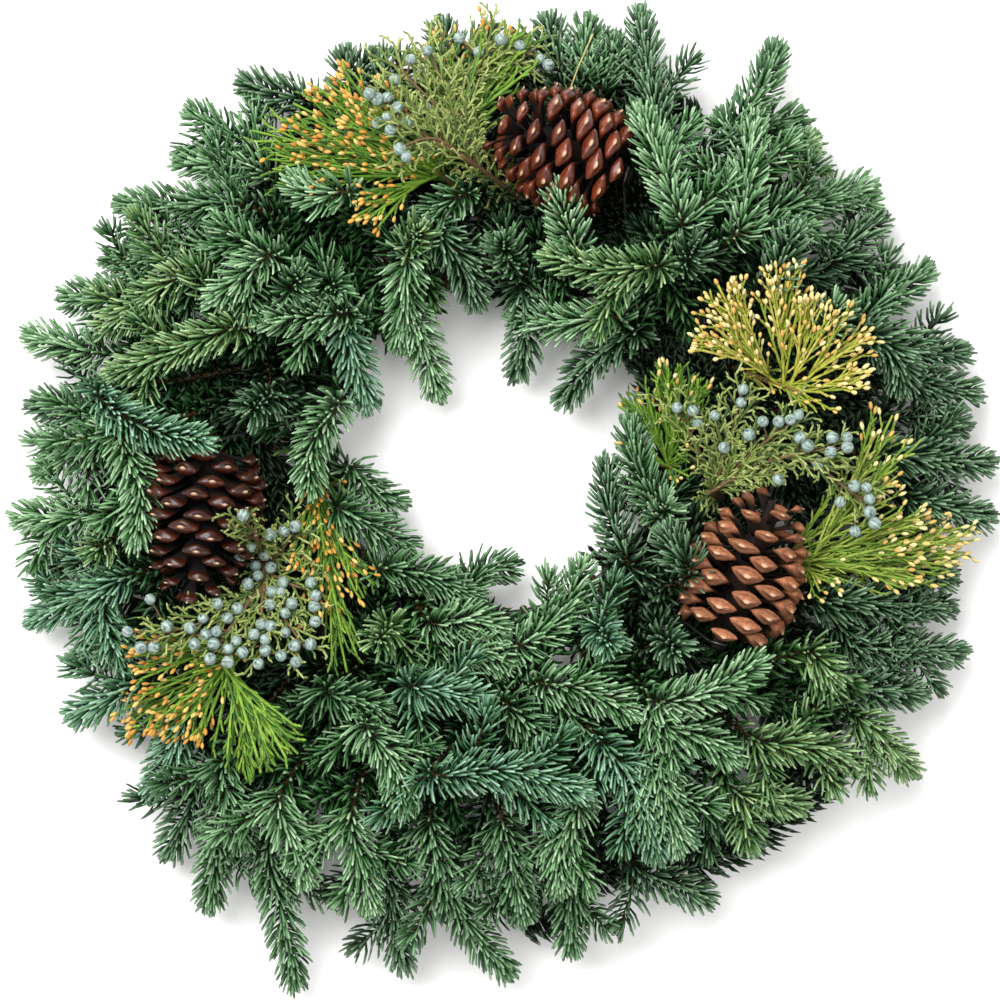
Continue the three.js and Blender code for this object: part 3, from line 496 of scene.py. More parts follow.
juniperSprays = {
    "juniper_spray_top": {
        "slot": 12, "fork": (-27, 214), "layer": 1.1,
        "straw": [(38, 246, 62), (46, 268, 76), (55, 288, 84)],       # a dry stalk beside the top cone
        "ends": [(-80, 252), (-70, 272), (-48, 284), (-4, 290, 0.7, 10), (20, 284, 0.6, 22), (-66, 216),
                 (-62, 234)],
        "berries": [
            (-83, 250), (-78, 247), (-68, 260), (-72, 248), (-66, 242), (-72, 236), (-78, 232), (-70, 227),
            (-64, 215), (-60, 210), (-48, 243), (-60, 232), (-58, 273), (-48, 280), (-28, 288), (-16, 280),
            (-2, 288), (10, 285), (23, 277), (28, 273)]},
    "juniper_spray_right": {
        "slot": 52, "fork": (128, 4), "layer": 0.9,
        "ends": [(107, 57), (131, 52), (148, 68), (181, 50), (204, 32), (222, 0, 0.9, 26)],
        "berries": [
            (108, 57), (118, 55), (121, 47), (131, 52), (148, 68), (147, 60), (160, 48), (170, 48),
            (177, 49), (182, 52), (152, 40), (137, 32), (183, 38), (188, 33), (170, 12), (202, 29),
            (195, 22), (203, 38), (212, 38), (212, 32), (217, 8), (224, 7), (208, -2), (226, 0), (226, -8),
            (229, -15), (217, -20)]},
    "juniper_spray_left": {
        "slot": 29, "fork": (-150, -58), "layer": 0.8,
        "ends": [(-160, -12), (-130, -18), (-118, -58), (-124, -92), (-150, -98), (-178, -92), (-214, -84)],
        "berries": [
            (-160, -10), (-145, -22), (-137, -20), (-130, -17), (-158, -30), (-166, -37), (-150, -35),
            (-156, -42), (-146, -43), (-154, -48), (-160, -53), (-138, -52), (-120, -52), (-139, -58),
            (-117, -60), (-145, -58), (-132, -65), (-146, -66), (-166, -68), (-178, -65), (-136, -71),
            (-118, -67), (-187, -74), (-195, -80), (-172, -74), (-151, -78), (-145, -79), (-117, -76),
            (-178, -82), (-185, -84), (-155, -84), (-136, -83), (-166, -88), (-148, -87), (-192, -90),
            (-180, -90), (-171, -93), (-162, -95), (-148, -94), (-138, -97), (-130, -91), (-120, -90),
            (-182, -99), (-171, -101), (-152, -102), (-129, -101), (-219, -62), (-233, -82), (-209, -79),
            (-225, -92), (-217, -92)]},
}
cones = {
    "cone_top": {"base": (70, 204, 68), "apex": (-12, 239, 72), "radius": 37, "scales": 72, "spread": 1.0,
                 "seed": 5, "scaleSize": 1.08, "strips": (0, 12), "tieAngle": 56.7},
    "cone_left": {"base": (-184, 30, 70), "apex": (-195, -70, 62), "radius": 36, "scales": 78, "spread": 0.92,
                  "seed": 6, "scaleSize": 1.0, "strips": (12, 24), "tieAngle": 176.7},
    "cone_right": {"base": (136, -84, 66), "apex": (171, 8, 72), "radius": 36, "scales": 68, "spread": 1.08,
                   "seed": 7, "scaleSize": 1.1, "strips": (0, 12), "tieAngle": 316.7},
}
shownPlan = {
    "steps": 9,                       # points along a twig or a cone that fir must not cover
    "twigReach": 22.0,
    "coneReach": 46.0,
    "depth": 14.0,                    # fir this much lower may pass under
}


# The same seeded numbers as the frame's, so that each twig lies where its own core does.
def frameRandom(seed):
    state = seed
    while True:
        state = (state + 0x6D2B79F5) & 0xFFFFFFFF
        t = ((state ^ (state >> 15)) * (1 | state)) & 0xFFFFFFFF
        t = ((t + (((t ^ (t >> 7)) * (61 | t)) & 0xFFFFFFFF)) & 0xFFFFFFFF) ^ t
        yield ((t ^ (t >> 14)) & 0xFFFFFFFF) / 4294967296


# The stem of a spray from the ring to its fork, and its twigs from there, each as a curve.
def sprayCurves(name, spray):
    skin = nodeSkin(name)
    fork = at(*spray["fork"], spray["layer"] * stemPlan["forkDrop"])
    cut, leave = leaderEnds(spray["slot"], growsOutward(fork))
    route = stemRoute(spray["slot"], mixed(leave, fork, 0.7), fork, 0, 0)
    stem, worst = framedCurve(skin, route, plainLengths, stemPlan["sprayRadius"])
    sections = stem.atLength(plainLengths(stem.total))
    draws = frameRandom(spray["slot"])
    twigs = []
    for i, (x, y, *rest) in enumerate(spray["ends"]):
        own, bend = [*rest, *(spray["layer"], 0)[len(rest):]]
        root = mixed(sections[-2], sections[-1], 0.3 + 0.65 * i / (len(spray["ends"]) - 1))
        wander = (next(draws) - 0.5) * 8

        def twigRoute(side, lift):
            end = at(x, y, own) + (0, 0, lift)
            across = end - root
            left = unit(np.array([-across[1], across[0], 0]))
            return [root, mixed(root, end, 0.5) + left * (bend + wander + side * 0.6) + (0, 0, 4), end]

        twig, miss = framedCurve(skin, twigRoute, twigLengths, stemPlan["twigRadius"])
        worst = max(worst, miss)
        twigs.append(twig)
    return cut, stem, twigs, worst


def twigLengths(total):
    return np.array([0, total * 0.5, total - 7, total - 2.5])


sprayPaths = {name: sprayCurves(name, spray) for name, spray in {**cedarSprays, **juniperSprays}.items()}
coneLine = np.linspace(0, 1, shownPlan["steps"])[:, None]
shown = [(twig.atLength(np.linspace(0.15, 1, shownPlan["steps"]) * twig.total), shownPlan["twigReach"])
         for cut, stem, twigs, miss in sprayPaths.values() for twig in twigs]
shown += [(mixed(cone["base"], cone["apex"], coneLine), shownPlan["coneReach"]) for cone in cones.values()]
shownPoints = np.vstack([points for points, reach in shown])
shownReach = np.concatenate([np.full(len(points), reach) for points, reach in shown])


# True where a fir twig would lie over a spray or a cone.
def covers(points):
    points = np.atleast_2d(points)
    apart = np.linalg.norm(points[:, None, :2] - shownPoints[None, :, :2], axis=2)
    above = points[:, None, 2] > shownPoints[None, :, 2] - shownPlan["depth"]
    return bool(((apart < shownReach) & above).any())


# ---- fir ----
fir = {
    "needleLength": (15.0, 19.5),
    "needleWidth": (1.9, 2.5),
    "lean": (82.0, 56.0, 6.0),        # degrees from the stem at a brush's foot and at its tip, and the spread
    "tuftLean": (10.0, 52.0),
    "tuftDepth": 3.0,                 # the tuft's needles start this close to the tip
    "topLean": 8.0,                   # degrees that the uppermost needles lean further forward
    "wrap": 0.76,                     # needles stand round this share of a stem, its upper side in the middle
    "woodRadius": 0.8,
    # How a needle bends on its way, as shares of its length; the upper ones bend less far forward.
    "bend": {"forward": 0.34, "topLess": 0.2, "upward": 0.46, "inward": 0.16},
    "shortTip": 0.36,                 # how much shorter the needles are at the tip
    "shade": (2.1, 0.6, 2.0),         # usual step of a tone, its spread, and how many steps of painted shade the deepest lose
    "markEvery": 6.0,                 # distance between the points that mark a brush as foliage
    "hiddenBroad": 1.45,              # hidden needles are this much wider, to fill the dark between bunches
    "hiddenFrom": 14.0,               # bare length of a stem where it leaves its leader
    "paintedShadeDepth": 38.0,                # needles this far below the top layer get the darkest painted shade
    "lowTwigs": 62,                   # low twigs that close the gaps between bunches
    "lowRange": (106.0, 272.0),       # how near the hole and how far out they may lie
    "lowReach": 21.0,
    "lowHeight": 15.0,
    "lateralEvery": 20.0,
    "lateralLean": 50.0,              # degrees from the stem
    "lateralReach": (22.0, 44.0),
    "lateralRim": (262.0, 300.0),     # how far out the hidden and the seen side twigs may end
    "lateralHole": 14.0,              # and how far from the hole
    "lateralFloor": 13.0,             # how low their tips may lie
    "lateralDip": 22.0,               # how much lower they lie under a spray or a cone
    "lowest": 1.5,                    # nothing reaches lower than this above the table
    "furthest": 326.0,
}
seenRings = [(0, 0.6), (0.5, 1.0), (0.93, 0.84)]
sideRings = [(0, 0.6), (0.48, 1.0), (0.92, 0.76)]
hiddenRings = [(0, 0.7), (0.7, 1.0)]
# Each kind of brush: its needles' rings, how many stand on a millimetre, their size, how many more stand in a
# tuft at the tip, and how many tones of painted shade darken them, more for the side, hidden and low ones.
brushes = {
    "seen": (seenRings, 2.15, 1.0, 12, 0.0),
    "side": (sideRings, 1.05, 0.94, 8, 0.5),
    "hiddenSide": (hiddenRings, 0.84, 0.94, 8, 1.1),
    "hidden": (hiddenRings, 0.6, 0.95, 0, 1.2),
    "leader": (hiddenRings, 0.6, 1.0, 0, 1.2),
    "low": (hiddenRings, 1.5, 1.0, 6, 0.9),
}
firLook = {
    "tones": {"D": (32, 90, 46), "G": (66, 120, 64), "L": (130, 169, 121), "B": (100, 151, 123),
              "Y": (124, 157, 86)},
    "steps": ((0.2, 0.45), (0.46, 0.68), (0.82, 0.9), (1.22, 1.05)),      # gain, and share of red and blue; the darker steps serve both random tone and painted shade
    "bark": ((56, 42, 28), (74, 56, 36)),
    # tip: a pale colour painted towards each needle's end as a highlight
    "tip": (194, 222, 186),
    "tipHighlightShare": 0.42,                 # how much of the pale tip colour, a painted highlight, a needle's own colour takes on
    # foot: near-black painted shade on the lower part of each needle, where the needles shade one another
    "foot": (0.001, 0.012, 0.002, 1),
    "roughness": 0.42,
}
toneOrder = "DGLBY"
toneSteps = len(firLook["steps"])
barkStrip = len(toneOrder) * toneSteps

# Each bunch: its slot on the ring, and each tip's tone, start x and y, end x and y, layer, bow and rise.
firBunches = {
    0: [("D", 236, 28, 306, 23, 0.6), ("D", 262, 52, 290, 46, 0.4), ("D", 258, 0, 306, -12, 0.5)],
    1: [("D", 240, 92, 290, 92, 0.6), ("D", 258, 74, 298, 67, 0.5), ("D", 228, 102, 250, 70, 0.8, 6)],
    2: [("G", 222, 112, 268, 145, 0.6), ("L", 200, 108, 208, 121, 0.85, 0, 18)],
    4: [("D", 205, 150, 238, 177, 0.5), ("D", 168, 138, 179, 166, 0.9, 0, 12),
        ("L", 205, 190, 231, 198, 0.5)],
    5: [("D", 82, 106, 38, 63, 0.7, -5), ("L", 70, 114, 8, 116, 0.9, 5)],
    6: [("G", 165, 178, 216, 192, 0.7), ("Y", 176, 212, 194, 227, 0.5),
        ("D", 112, 146, 119, 157, 0.9, 0, 16)],
    7: [("Y", 95, 144, 28, 152, 1, 6), ("L", 145, 165, 157, 238, 0.9)],
    8: [("L", 110, 170, 84, 240, 1), ("G", 138, 228, 173, 285, 0.6, -5), ("G", 162, 236, 187, 241, 0.45)],
    9: [("D", 98, 206, 86, 307, 0.7), ("G", 62, 262, 69, 290, 0.4)],
    10: [("D", 12, 135, 8, 80, 0.7, 4), ("L", 45, 152, 32, 192, 0.9), ("G", 4, 148, -2, 162, 0.8, 0, 16)],
    11: [("G", 50, 265, 52, 302, 0.5), ("D", 38, 262, 28, 303, 0.35)],
    13: [("D", -30, 272, -40, 300, 0.3), ("G", -25, 190, -52, 172, 0.7)],
    15: [("D", -42, 168, -17, 125, 0.8, 3), ("Y", -58, 158, -50, 169, 0.8, 0, 12)],
    16: [("D", -78, 258, -78, 281, 0.3), ("D", -98, 258, -100, 281, 0.35)],
    17: [("L", -60, 150, -65, 98, 0.9), ("L", -58, 120, -42, 68, 0.8)],
    18: [("L", -98, 190, -131, 197, 0.9, 6), ("D", -124, 250, -164, 264, 0.4),
         ("G", -160, 222, -197, 244, 0.5)],
    19: [("L", -150, 205, -203, 214, 0.6), ("G", -165, 184, -241, 186, 0.7)],
    20: [("B", -100, 112, -86, 60, 0.8), ("L", -98, 116, -147, 111, 0.9),
         ("G", -108, 134, -102, 124, 0.8, 0, 16)],
    21: [("G", -160, 158, -248, 150, 0.7), ("L", -145, 150, -179, 123, 1),
         ("G", -132, 130, -124, 139, 0.9, 0, 14)],
    22: [("Y", -200, 138, -252, 106, 0.8), ("G", -228, 130, -277, 127, 0.6)],
    23: [("L", -106, 58, -122, 6, 0.9, -6), ("D", -148, 62, -159, 53, 0.8, 0, 14)],
    24: [("Y", -165, 106, -243, 78, 0.9), ("L", -255, 92, -299, 103, 0.6), ("B", -252, 66, -184, 36, 1, -8)],
    25: [("D", -250, 58, -297, 60, 0.4), ("L", -240, 45, -292, 17, 0.8), ("L", -236, 40, -228, -26, 0.9, 6)],
    28: [("L", -262, -10, -307, -12, 0.7), ("D", -262, -38, -293, -44, 0.4),
         ("Y", -248, -26, -257, -34, 0.8, 0, 14)],
    30: [("B", -238, -50, -298, -76, 0.7), ("D", -235, -85, -268, -103, 0.5),
         ("B", -250, -60, -235, -105, 0.8, -6)],
    31: [("G", -97, 22, -67, -3, 0.9, -4), ("G", -105, -5, -60, -31, 0.8)],
    32: [("B", -232, -118, -273, -137, 0.6), ("B", -200, -140, -222, -186, 0.7)],
    34: [("D", -196, -190, -213, -224, 0.4), ("G", -178, -196, -187, -256, 0.6),
         ("G", -176, -168, -164, -216, 0.8)],
    35: [("Y", -72, -80, -79, -91, 0.9, 0, 16), ("L", -45, -78, 0, -84, 0.9, 6),
         ("G", -30, -64, 5, -42, 0.6, 8), ("G", -78, -44, -22, -62, 0.8, 5)],
    36: [("L", -140, -188, -123, -237, 0.9), ("G", -148, -215, -133, -306, 0.5),
         ("G", -110, -120, -75, -130, 0.8)],
    37: [("L", -95, -198, -84, -256, 0.8), ("D", -76, -225, -64, -295, 0.5),
         ("L", -85, -140, -63, -192, 0.9, 6)],
    38: [("B", -58, -116, -13, -124, 1), ("L", -28, -96, 2, -103, 0.8, 4), ("G", 2, -128, 25, -150, 0.8)],
    39: [("G", -46, -202, 2, -299, 0.7, -10), ("G", 0, -203, 12, -262, 0.7)],
    40: [("L", 8, -92, 50, -42, 0.9, -8), ("L", 25, -115, 79, -132, 0.9, 4)],
    41: [("B", -45, -170, 49, -181, 1, 8), ("L", 46, -188, 35, -242, 0.8, -6),
         ("G", 42, -228, 42, -284, 0.5)],
    42: [("D", 84, -232, 128, -252, 0.5), ("L", 92, -165, 110, -216, 0.8), ("B", 60, -150, 96, -222, 0.8, 6)],
    44: [("G", 128, -192, 160, -216, 0.5), ("Y", 148, -184, 186, -191, 0.8),
         ("L", 92, -138, 142, -160, 0.9, 4)],
    45: [("B", 60, -80, 66, -92, 0.9, 0, 16), ("D", 100, -88, 108, -95, 0.9, 0, 16),
         ("L", 95, -125, 156, -100, 1, -6)],
    46: [("Y", 158, -150, 223, -167, 0.9, 5), ("Y", 224, -138, 257, -172, 0.8),
         ("Y", 190, -95, 205, -110, 1, 0, 10)],
    47: [("D", 115, -45, 100, -20, 0.8), ("D", 78, -40, 66, 22, 0.8, 5)],
    48: [("D", 215, -118, 262, -122, 0.6), ("D", 218, -92, 288, -98, 0.5)],
    49: [("D", 198, -63, 281, -69, 0.8), ("D", 250, -45, 282, -50, 0.4)],
    51: [("G", 97, -5, 80, 48, 0.8, 5), ("L", 98, -12, 104, -2, 0.9, 0, 12)],
}


def needleFinish():
    finish = Finish("fir needle")
    uv, u, v = finish.ownMap()
    tones = [linear(r * grey, g, b * grey, gain) for r, g, b in (firLook["tones"][tone] for tone in toneOrder)
             for gain, grey in firLook["steps"]]
    gains = [gain for gain, grey in firLook["steps"]] * len(toneOrder)
    ownShare = 1 - firLook["tipHighlightShare"]
    # Painted highlight: each strip's colour mixed with the pale tip colour, darker for darker strips; the
    # underside's own pale band takes a little of it too.
    ends = linear(*firLook["tip"])
    tips = [[own * ownShare + end * gain * firLook["tipHighlightShare"] for own, end in zip(tone[:3], ends)]
            for tone, gain in zip(tones, gains)]
    bark = [linear(*colour) for colour in firLook["bark"]]
    base = finish.byStrip(u, tones + bark)
    tip = finish.byStrip(u, [(*colour, 1) for colour in tips] + bark)
    leaf = 1 - u.rise((barkStrip - 0.02) / stripCount, barkStrip / stripCount)
    under = (u * stripCount).math("FRACT").rise(0.36, 0.4) * leaf
    pale = finish.mix(under * 0.3, base, tip)
    # Painted shade: each needle darkens towards its foot, where the brush shades itself.
    shadedFoot = finish.mix((1 - v.rise(0.0, 0.6)) * 0.8 * leaf, pale, firLook["foot"])
    # Painted highlight: needles turn to the pale tip ramp towards their ends.
    tipHighlighted = finish.mix(v.rise(0.55, 0.95) * leaf, shadedFoot, tip)
    grain = finish.noise(uv, 60.0, 6.0, 4.0)
    finish.bump(grain, 0.25, 0.0004)
    return finish.set(Base_Color=finish.grained(tipHighlighted, grain, 0.35), Specular_IOR_Level=0.08,
                      Roughness=grain * 0.2 + (firLook["roughness"] - 0.1))


# Points of the brushes of needles made so far, for finding where the foliage is thin.
brushed = []


# Needles along a curve from one length to another: they stand round its upper side in a spiral, lean forward,
# more so towards the tip, and each bends up and forward along its length.
def needles(shape, curve, start, end, tone, rng, brush):
    rings, perMillimetre, size, tuft, dull = brushes[brush]
    firstLean, lastLean, leanSpread = fir["lean"]
    count = max(6, int((end - start) * perMillimetre))
    share = (np.arange(count) + rng.random(count)) / count
    s = start + (end - start) * share
    turn = np.mod(np.arange(count) * goldenTurn + rng.normal(0, 0.2, count), 2 * np.pi) - np.pi
    lean = np.radians(firstLean - (firstLean - lastLean) * share ** 2 + rng.normal(0, leanSpread, count))
    if tuft:
        s = np.concatenate([s, end - fir["tuftDepth"] + fir["tuftDepth"] * rng.random(tuft)])
        share = np.concatenate([share, np.ones(tuft)])
        turn = np.concatenate([turn, rng.uniform(-np.pi, np.pi, tuft)])
        lean = np.concatenate([lean, np.radians(rng.uniform(*fir["tuftLean"], tuft))])
    count = len(s)
    tangent = curve.tangentAt(s)
    up = unit(np.array([0, 0, 1.0]) - tangent[:, 2:] * tangent)
    turn = fir["wrap"] * np.pi * np.sign(turn) * np.abs(turn / np.pi) ** 1.4
    upper = np.clip(np.cos(turn), 0, 1)
    lean = lean - np.radians(fir["topLean"]) * upper ** 2 * (1 - share ** 4)
    radial = np.cos(turn)[:, None] * up + np.sin(turn)[:, None] * np.cross(tangent, up)
    direction = unit(np.sin(lean)[:, None] * radial + np.cos(lean)[:, None] * tangent)
    flatness = np.abs(np.sin(turn))[:, None]
    curl = fir["bend"]
    bend = (curl["forward"] - curl["topLess"] * upper[:, None]) * tangent
    bend = bend + np.array([0, 0, curl["upward"]]) * flatness - curl["inward"] * radial
    length = rng.uniform(*fir["needleLength"], count) * size * (1 - fir["shortTip"] * share ** 5)
    base = curve.atLength(s) + radial * fir["woodRadius"]
    reach = base + length[:, None] * (direction + bend)
    brushed.append(curve.atLength(np.arange(start, end, fir["markEvery"]))[:, :2])
    aboveTable = np.minimum(base[:, 2], reach[:, 2]) > fir["lowest"]
    keep = aboveTable & (np.abs(reach[:, :2]).max(1) < fir["furthest"])
    # Painted shade: needles that lie deep under the top layer take darker steps of their tone.
    below = layerHeight(reach[:, 0], reach[:, 1], wreath["topLayer"]) - reach[:, 2]
    depth = np.clip(below / fir["paintedShadeDepth"], 0, 1)
    middleShade, shadeSpread, depthPaintedShade = fir["shade"]
    shade = np.round(rng.normal(middleShade - dull, shadeSpread, count) - depthPaintedShade * depth)
    shade = np.clip(shade, 0, toneSteps - 1)
    width = rng.uniform(*fir["needleWidth"], count) * (fir["hiddenBroad"] if rings is hiddenRings else 1)
    side = np.cross(direction, np.array([0, 0, 1.0])) + rng.normal(0, 0.25, (count, 3))
    strips = toneOrder.index(tone) * toneSteps + shade
    kept = (values[keep] for values in (base, direction, bend, side, length, width, strips))
    scatter(shape, *kept, rings)


def wood(shape, curve, end, thickStart, thickEnd, rng, sides=5, step=7.0):
    count = max(3, int(end / step) + 1)
    points = curve.atLength(np.linspace(0, end, count))
    radii = np.linspace(thickStart, thickEnd, count)
    tube(shape, points, radii, sides, strip(barkStrip + int(rng.integers(2))))


# Points spread evenly between the hole and the rim on a golden spiral.
def spreadPlaces(count):
    share = np.sqrt((np.arange(count) + 0.5) / count * 0.87 + 0.13)[:, None]
    turn = np.arange(count) * goldenTurn
    way = np.stack([np.cos(turn), np.sin(turn)], 1)
    nearHole, nearRim = fir["lowRange"]
    return mixed(wreath["frameCentre"] + nearHole * way, nearRim * way, (share - 0.36) / 0.64)


# A low twig lies along the ring through its place.
def lowLine(spot):
    turn = angleRound(*spot) + math.pi / 2
    half = np.array([math.cos(turn), math.sin(turn), 0]) * fir["lowReach"]
    middle = np.array([*spot, fir["lowHeight"]])
    return np.array([middle - half, middle + (0, 0, 3), middle + half])


# The spread places that lie furthest from any brush or cone, each taken in turn and then counted as filled.
def thinPlaces():
    spread = spreadPlaces(1400)
    lines = [mixed(cone["base"], cone["apex"], coneLine)[:, :2] for cone in cones.values()]
    solid = np.vstack(brushed + lines)
    apart = np.concatenate([nearest(part, solid) for part in np.array_split(spread, 20)])
    chosen = []
    for _ in range(fir["lowTwigs"]):
        chosen.append(spread[int(np.argmax(apart))])
        apart = np.minimum(apart, nearest(spread, lowLine(chosen[-1])[:, :2]))
    print("low twigs:", len(chosen), "largest gap left", round(float(apart.max()), 1))
    return chosen


# The bunch that a low twig belongs to is the one whose slot lies nearest by angle.
def nearestSlot(x, y):
    turn = angleRound(x, y) / (2 * math.pi)
    return min(firBunches, key=lambda slot: abs((slot / wreath["slotCount"] - turn + 0.5) % 1 - 0.5))


def lowTwig(shape, spot, rng):
    twig = Curve(lowLine(spot), 20)
    wood(shape, twig, twig.total - 2, 1.2, 0.8, rng, 4, 9.0)
    # Low twigs take the dark tone and the low brush's painted shade, for the shade between bunches.
    needles(shape, twig, 1, twig.total, "D", rng, "low")


# Side twigs leave the stem left and right in turn, lean forward and droop a little.
def sideTwigs(shape, curve, start, end, tone, rng, hidden):
    shortest, longest = fir["lateralReach"]
    for i, s in enumerate(np.arange(start, end, fir["lateralEvery"])):
        root = curve.atLength([s])[0]
        flat = unit(curve.tangentAt([s])[0] * (1, 1, 0))
        left = np.array([-flat[1], flat[0], 0]) * (1 if i % 2 else -1)
        lean = math.radians(fir["lateralLean"] + rng.uniform(-8, 8))
        length = longest if hidden else min(max(0.55 * (curve.total - s) + 12, shortest), longest)
        length *= rng.uniform(0.85, 1.1)
        droop = np.array([0, 0, rng.uniform(-0.3, 0.0)])
        tip = root + length * (math.cos(lean) * flat + math.sin(lean) * left + droop)
        tip[2] = max(tip[2], fir["lateralFloor"])
        fromHole = math.hypot(tip[0] - centreX, tip[1] - centreY) - wreath["holeReach"]
        rim = fir["lateralRim"][0 if hidden else 1]
        if fromHole < fir["lateralHole"] or math.hypot(tip[0], tip[1]) > rim:
            continue
        if covers([mixed(root, tip, 0.6), tip]):
            tip[2] = max(tip[2] - fir["lateralDip"], fir["lateralFloor"])
            if covers(tip):
                continue
        middle = mixed(root, tip, 0.5) + flat * length * 0.06 + np.array([0, 0, -1.5])
        twig = Curve([root, middle, tip], 30)
        wood(shape, twig, twig.total - 3, 1.2, 0.8, rng, 4, 9.0)
        needles(shape, twig, 3, twig.total, tone, rng, "hiddenSide" if hidden else "side")


def firBunch(slot, rows):
    skin = nodeSkin(f"fir_bunch_{slot:02d}")
    rng = np.random.default_rng(1000 + slot)
    shape = Shape()
    worst = 0
    for rank, (tone, startX, startY, endX, endY, layer, *rest) in enumerate(rows):
        bow, rise = [*rest, *(0, 0)[len(rest):]]
        start, end = at(startX, startY, layer), at(endX, endY, layer) + (0, 0, rise)
        seen = math.dist(start, end) + abs(bow) * 0.3
        route = stemRoute(slot, start, end, rank, bow)
        curve, miss = framedCurve(skin, route, firLengths(seen), stemPlan["firRadius"])
        worst = max(worst, miss)
        if rank == 0:
            cut = leaderEnds(slot, growsOutward(start))[0]
            leader = Curve([cut, mixed(cut, curve.p[1], 0.5), curve.p[1]], 20)
            wood(shape, leader, leader.total, 2.4, 2.4, rng, 7, 20.0)
            needles(shape, leader, 4, leader.total, tone, rng, "leader")
        brushStart = max(curve.total - seen - 6, 8)
        hidden = min(fir["hiddenFrom"], brushStart)
        wood(shape, curve, curve.total - 4, 2.2, 1.1, rng)
        if brushStart - hidden > 6:
            needles(shape, curve, hidden, brushStart, tone, rng, "hidden")
        needles(shape, curve, brushStart, curve.total - 3, tone, rng, "seen")
        sideTwigs(shape, curve, hidden, brushStart - 6, tone, rng, True)
        sideTwigs(shape, curve, brushStart + 3, curve.total - 24, tone, rng, False)
    return shape, worst


def makeFir():
    made = {slot: firBunch(slot, rows) for slot, rows in firBunches.items()}
    rng = np.random.default_rng(1999)
    for spot in thinPlaces():
        lowTwig(made[nearestSlot(*spot)][0], spot, rng)
    finish = needleFinish()
    faces = 0
    for slot, (shape, worst) in made.items():
        name = f"fir_bunch_{slot:02d}"
        piece = shape.build(name + "_needles", [finish])
        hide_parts(name)
        faces += len(piece.data.polygons)
    worst = max(worst for shape, worst in made.values())
    print("fir bunches:", len(made), "worst miss", round(worst, 3), "faces", faces)


makeFir()


# ---- pine cones ----
coneStalk = {"radius": 4.0, "length": 9.0}
coneShape = {
    "profile": (0.16, 0.84),          # half thickness at the ends, and how much more there is at the thickest
    "opening": ([0, 0.12, 0.5, 0.85, 1], [104, 84, 70, 52, 18]),      # share of the cone, degrees of lean
    "widest": 114.0,                  # and never more
    "width": ([0, 0.2, 0.6, 1], [16, 20, 18.5, 9]),                   # shares of the cone, sizes of a scale
    "height": ([0, 0.2, 0.6, 1], [11, 13.5, 12.5, 7]),
    "longest": 34.0,
    "core": 0.3,                      # share of the cone's thickness where scales start
    "coreWood": 0.34,                 # and share that the core itself fills
    "turnSpread": 0.06,
    "openingSpread": 0.09,
    "widthSpread": (0.88, 1.12),
    "heightSpread": (0.86, 1.14),
    "curl": 0.10,                     # how far a scale's end bends outwards, as a share of its length
    "sides": 12,
}
# edge is the scales' dark brown: their own mottle and ring, and also the painted shade on each face's base
# side.
coneLooks = {
    "glossy": {"inner": (12, 6, 3), "face": (106, 44, 22), "ridge": (148, 68, 38), "umbo": (214, 176, 142),
               "edge": (34, 14, 7), "roughness": 0.3, "coat": 0.35},
    "matte": {"inner": (20, 12, 7), "face": (154, 92, 58), "ridge": (204, 136, 98), "umbo": (226, 182, 148),
              "edge": (52, 31, 20), "roughness": 0.6, "coat": 0.0},
}
coneDarkShare = 0.6                   # the second half of the map's strips is this much darker


def coneProfile(t):
    ends, more = coneShape["profile"]
    return ends + more * np.sin(np.pi * np.minimum(0.16 + 0.8 * np.asarray(t, float) ** 0.82, 1)) ** 0.8


# v runs along a scale from the core to its tip: the thin inner part, then the thick face with its boss.
def coneFinish(name, look):
    finish = Finish(name)
    uv, u, v = finish.ownMap()
    half = stripCount / 2
    tones = [(205 + 14 * ((i * 7) % 5 - 2)) * (1 if i < half else coneDarkShare) for i in range(stripCount)]
    inner, face, ridge, edge = (linear(*look[part]) for part in ("inner", "face", "ridge", "edge"))
    umbo = linear(*[c * 0.86 for c in look["umbo"]])
    grain = finish.noise(uv, 90.0, 9.0, 3.0)
    speck = finish.noise(uv, 160.0, 30.0, 2.0, 2.0)
    # Painted shade: the base side of each scale's face is darkened as if shaded from the light above; the
    # specks mixed in are the scale's own mottle.
    shadedBaseSide = (u * stripCount).math("FRACT").rise(0.5, 0.62)
    plain = finish.mix(grain.rise(0.35, 0.7), face, ridge)
    mottled = finish.mix(shadedBaseSide * 0.45 + speck.rise(0.55, 0.75) * 0.35, plain, edge)
    ringed = finish.mix(v.rise(0.885, 0.9) * (1 - v.rise(0.905, 0.92)) * 0.4, mottled, edge)
    whole = finish.mix(v.rise(0.6, 0.74), finish.mix(grain.rise(0.3, 0.7), inner, edge), ringed)
    toned = finish.mix(0.9, whole, finish.byStrip(u, [linear(t, t, t) for t in tones]), "MULTIPLY")
    outer = v.rise(0.62, 0.74)
    finish.bump(grain + speck * 0.4, 0.5, 0.0006)
    return finish.set(Base_Color=finish.mix(v.rise(0.936, 0.955), toned, umbo),
                      Roughness=(speck * 0.25 + (look["roughness"] - 0.08)) * outer + (1 - outer) * 0.9,
                      Coat_Weight=outer * look["coat"], Coat_Roughness=0.2, Specular_IOR_Level=0.3)


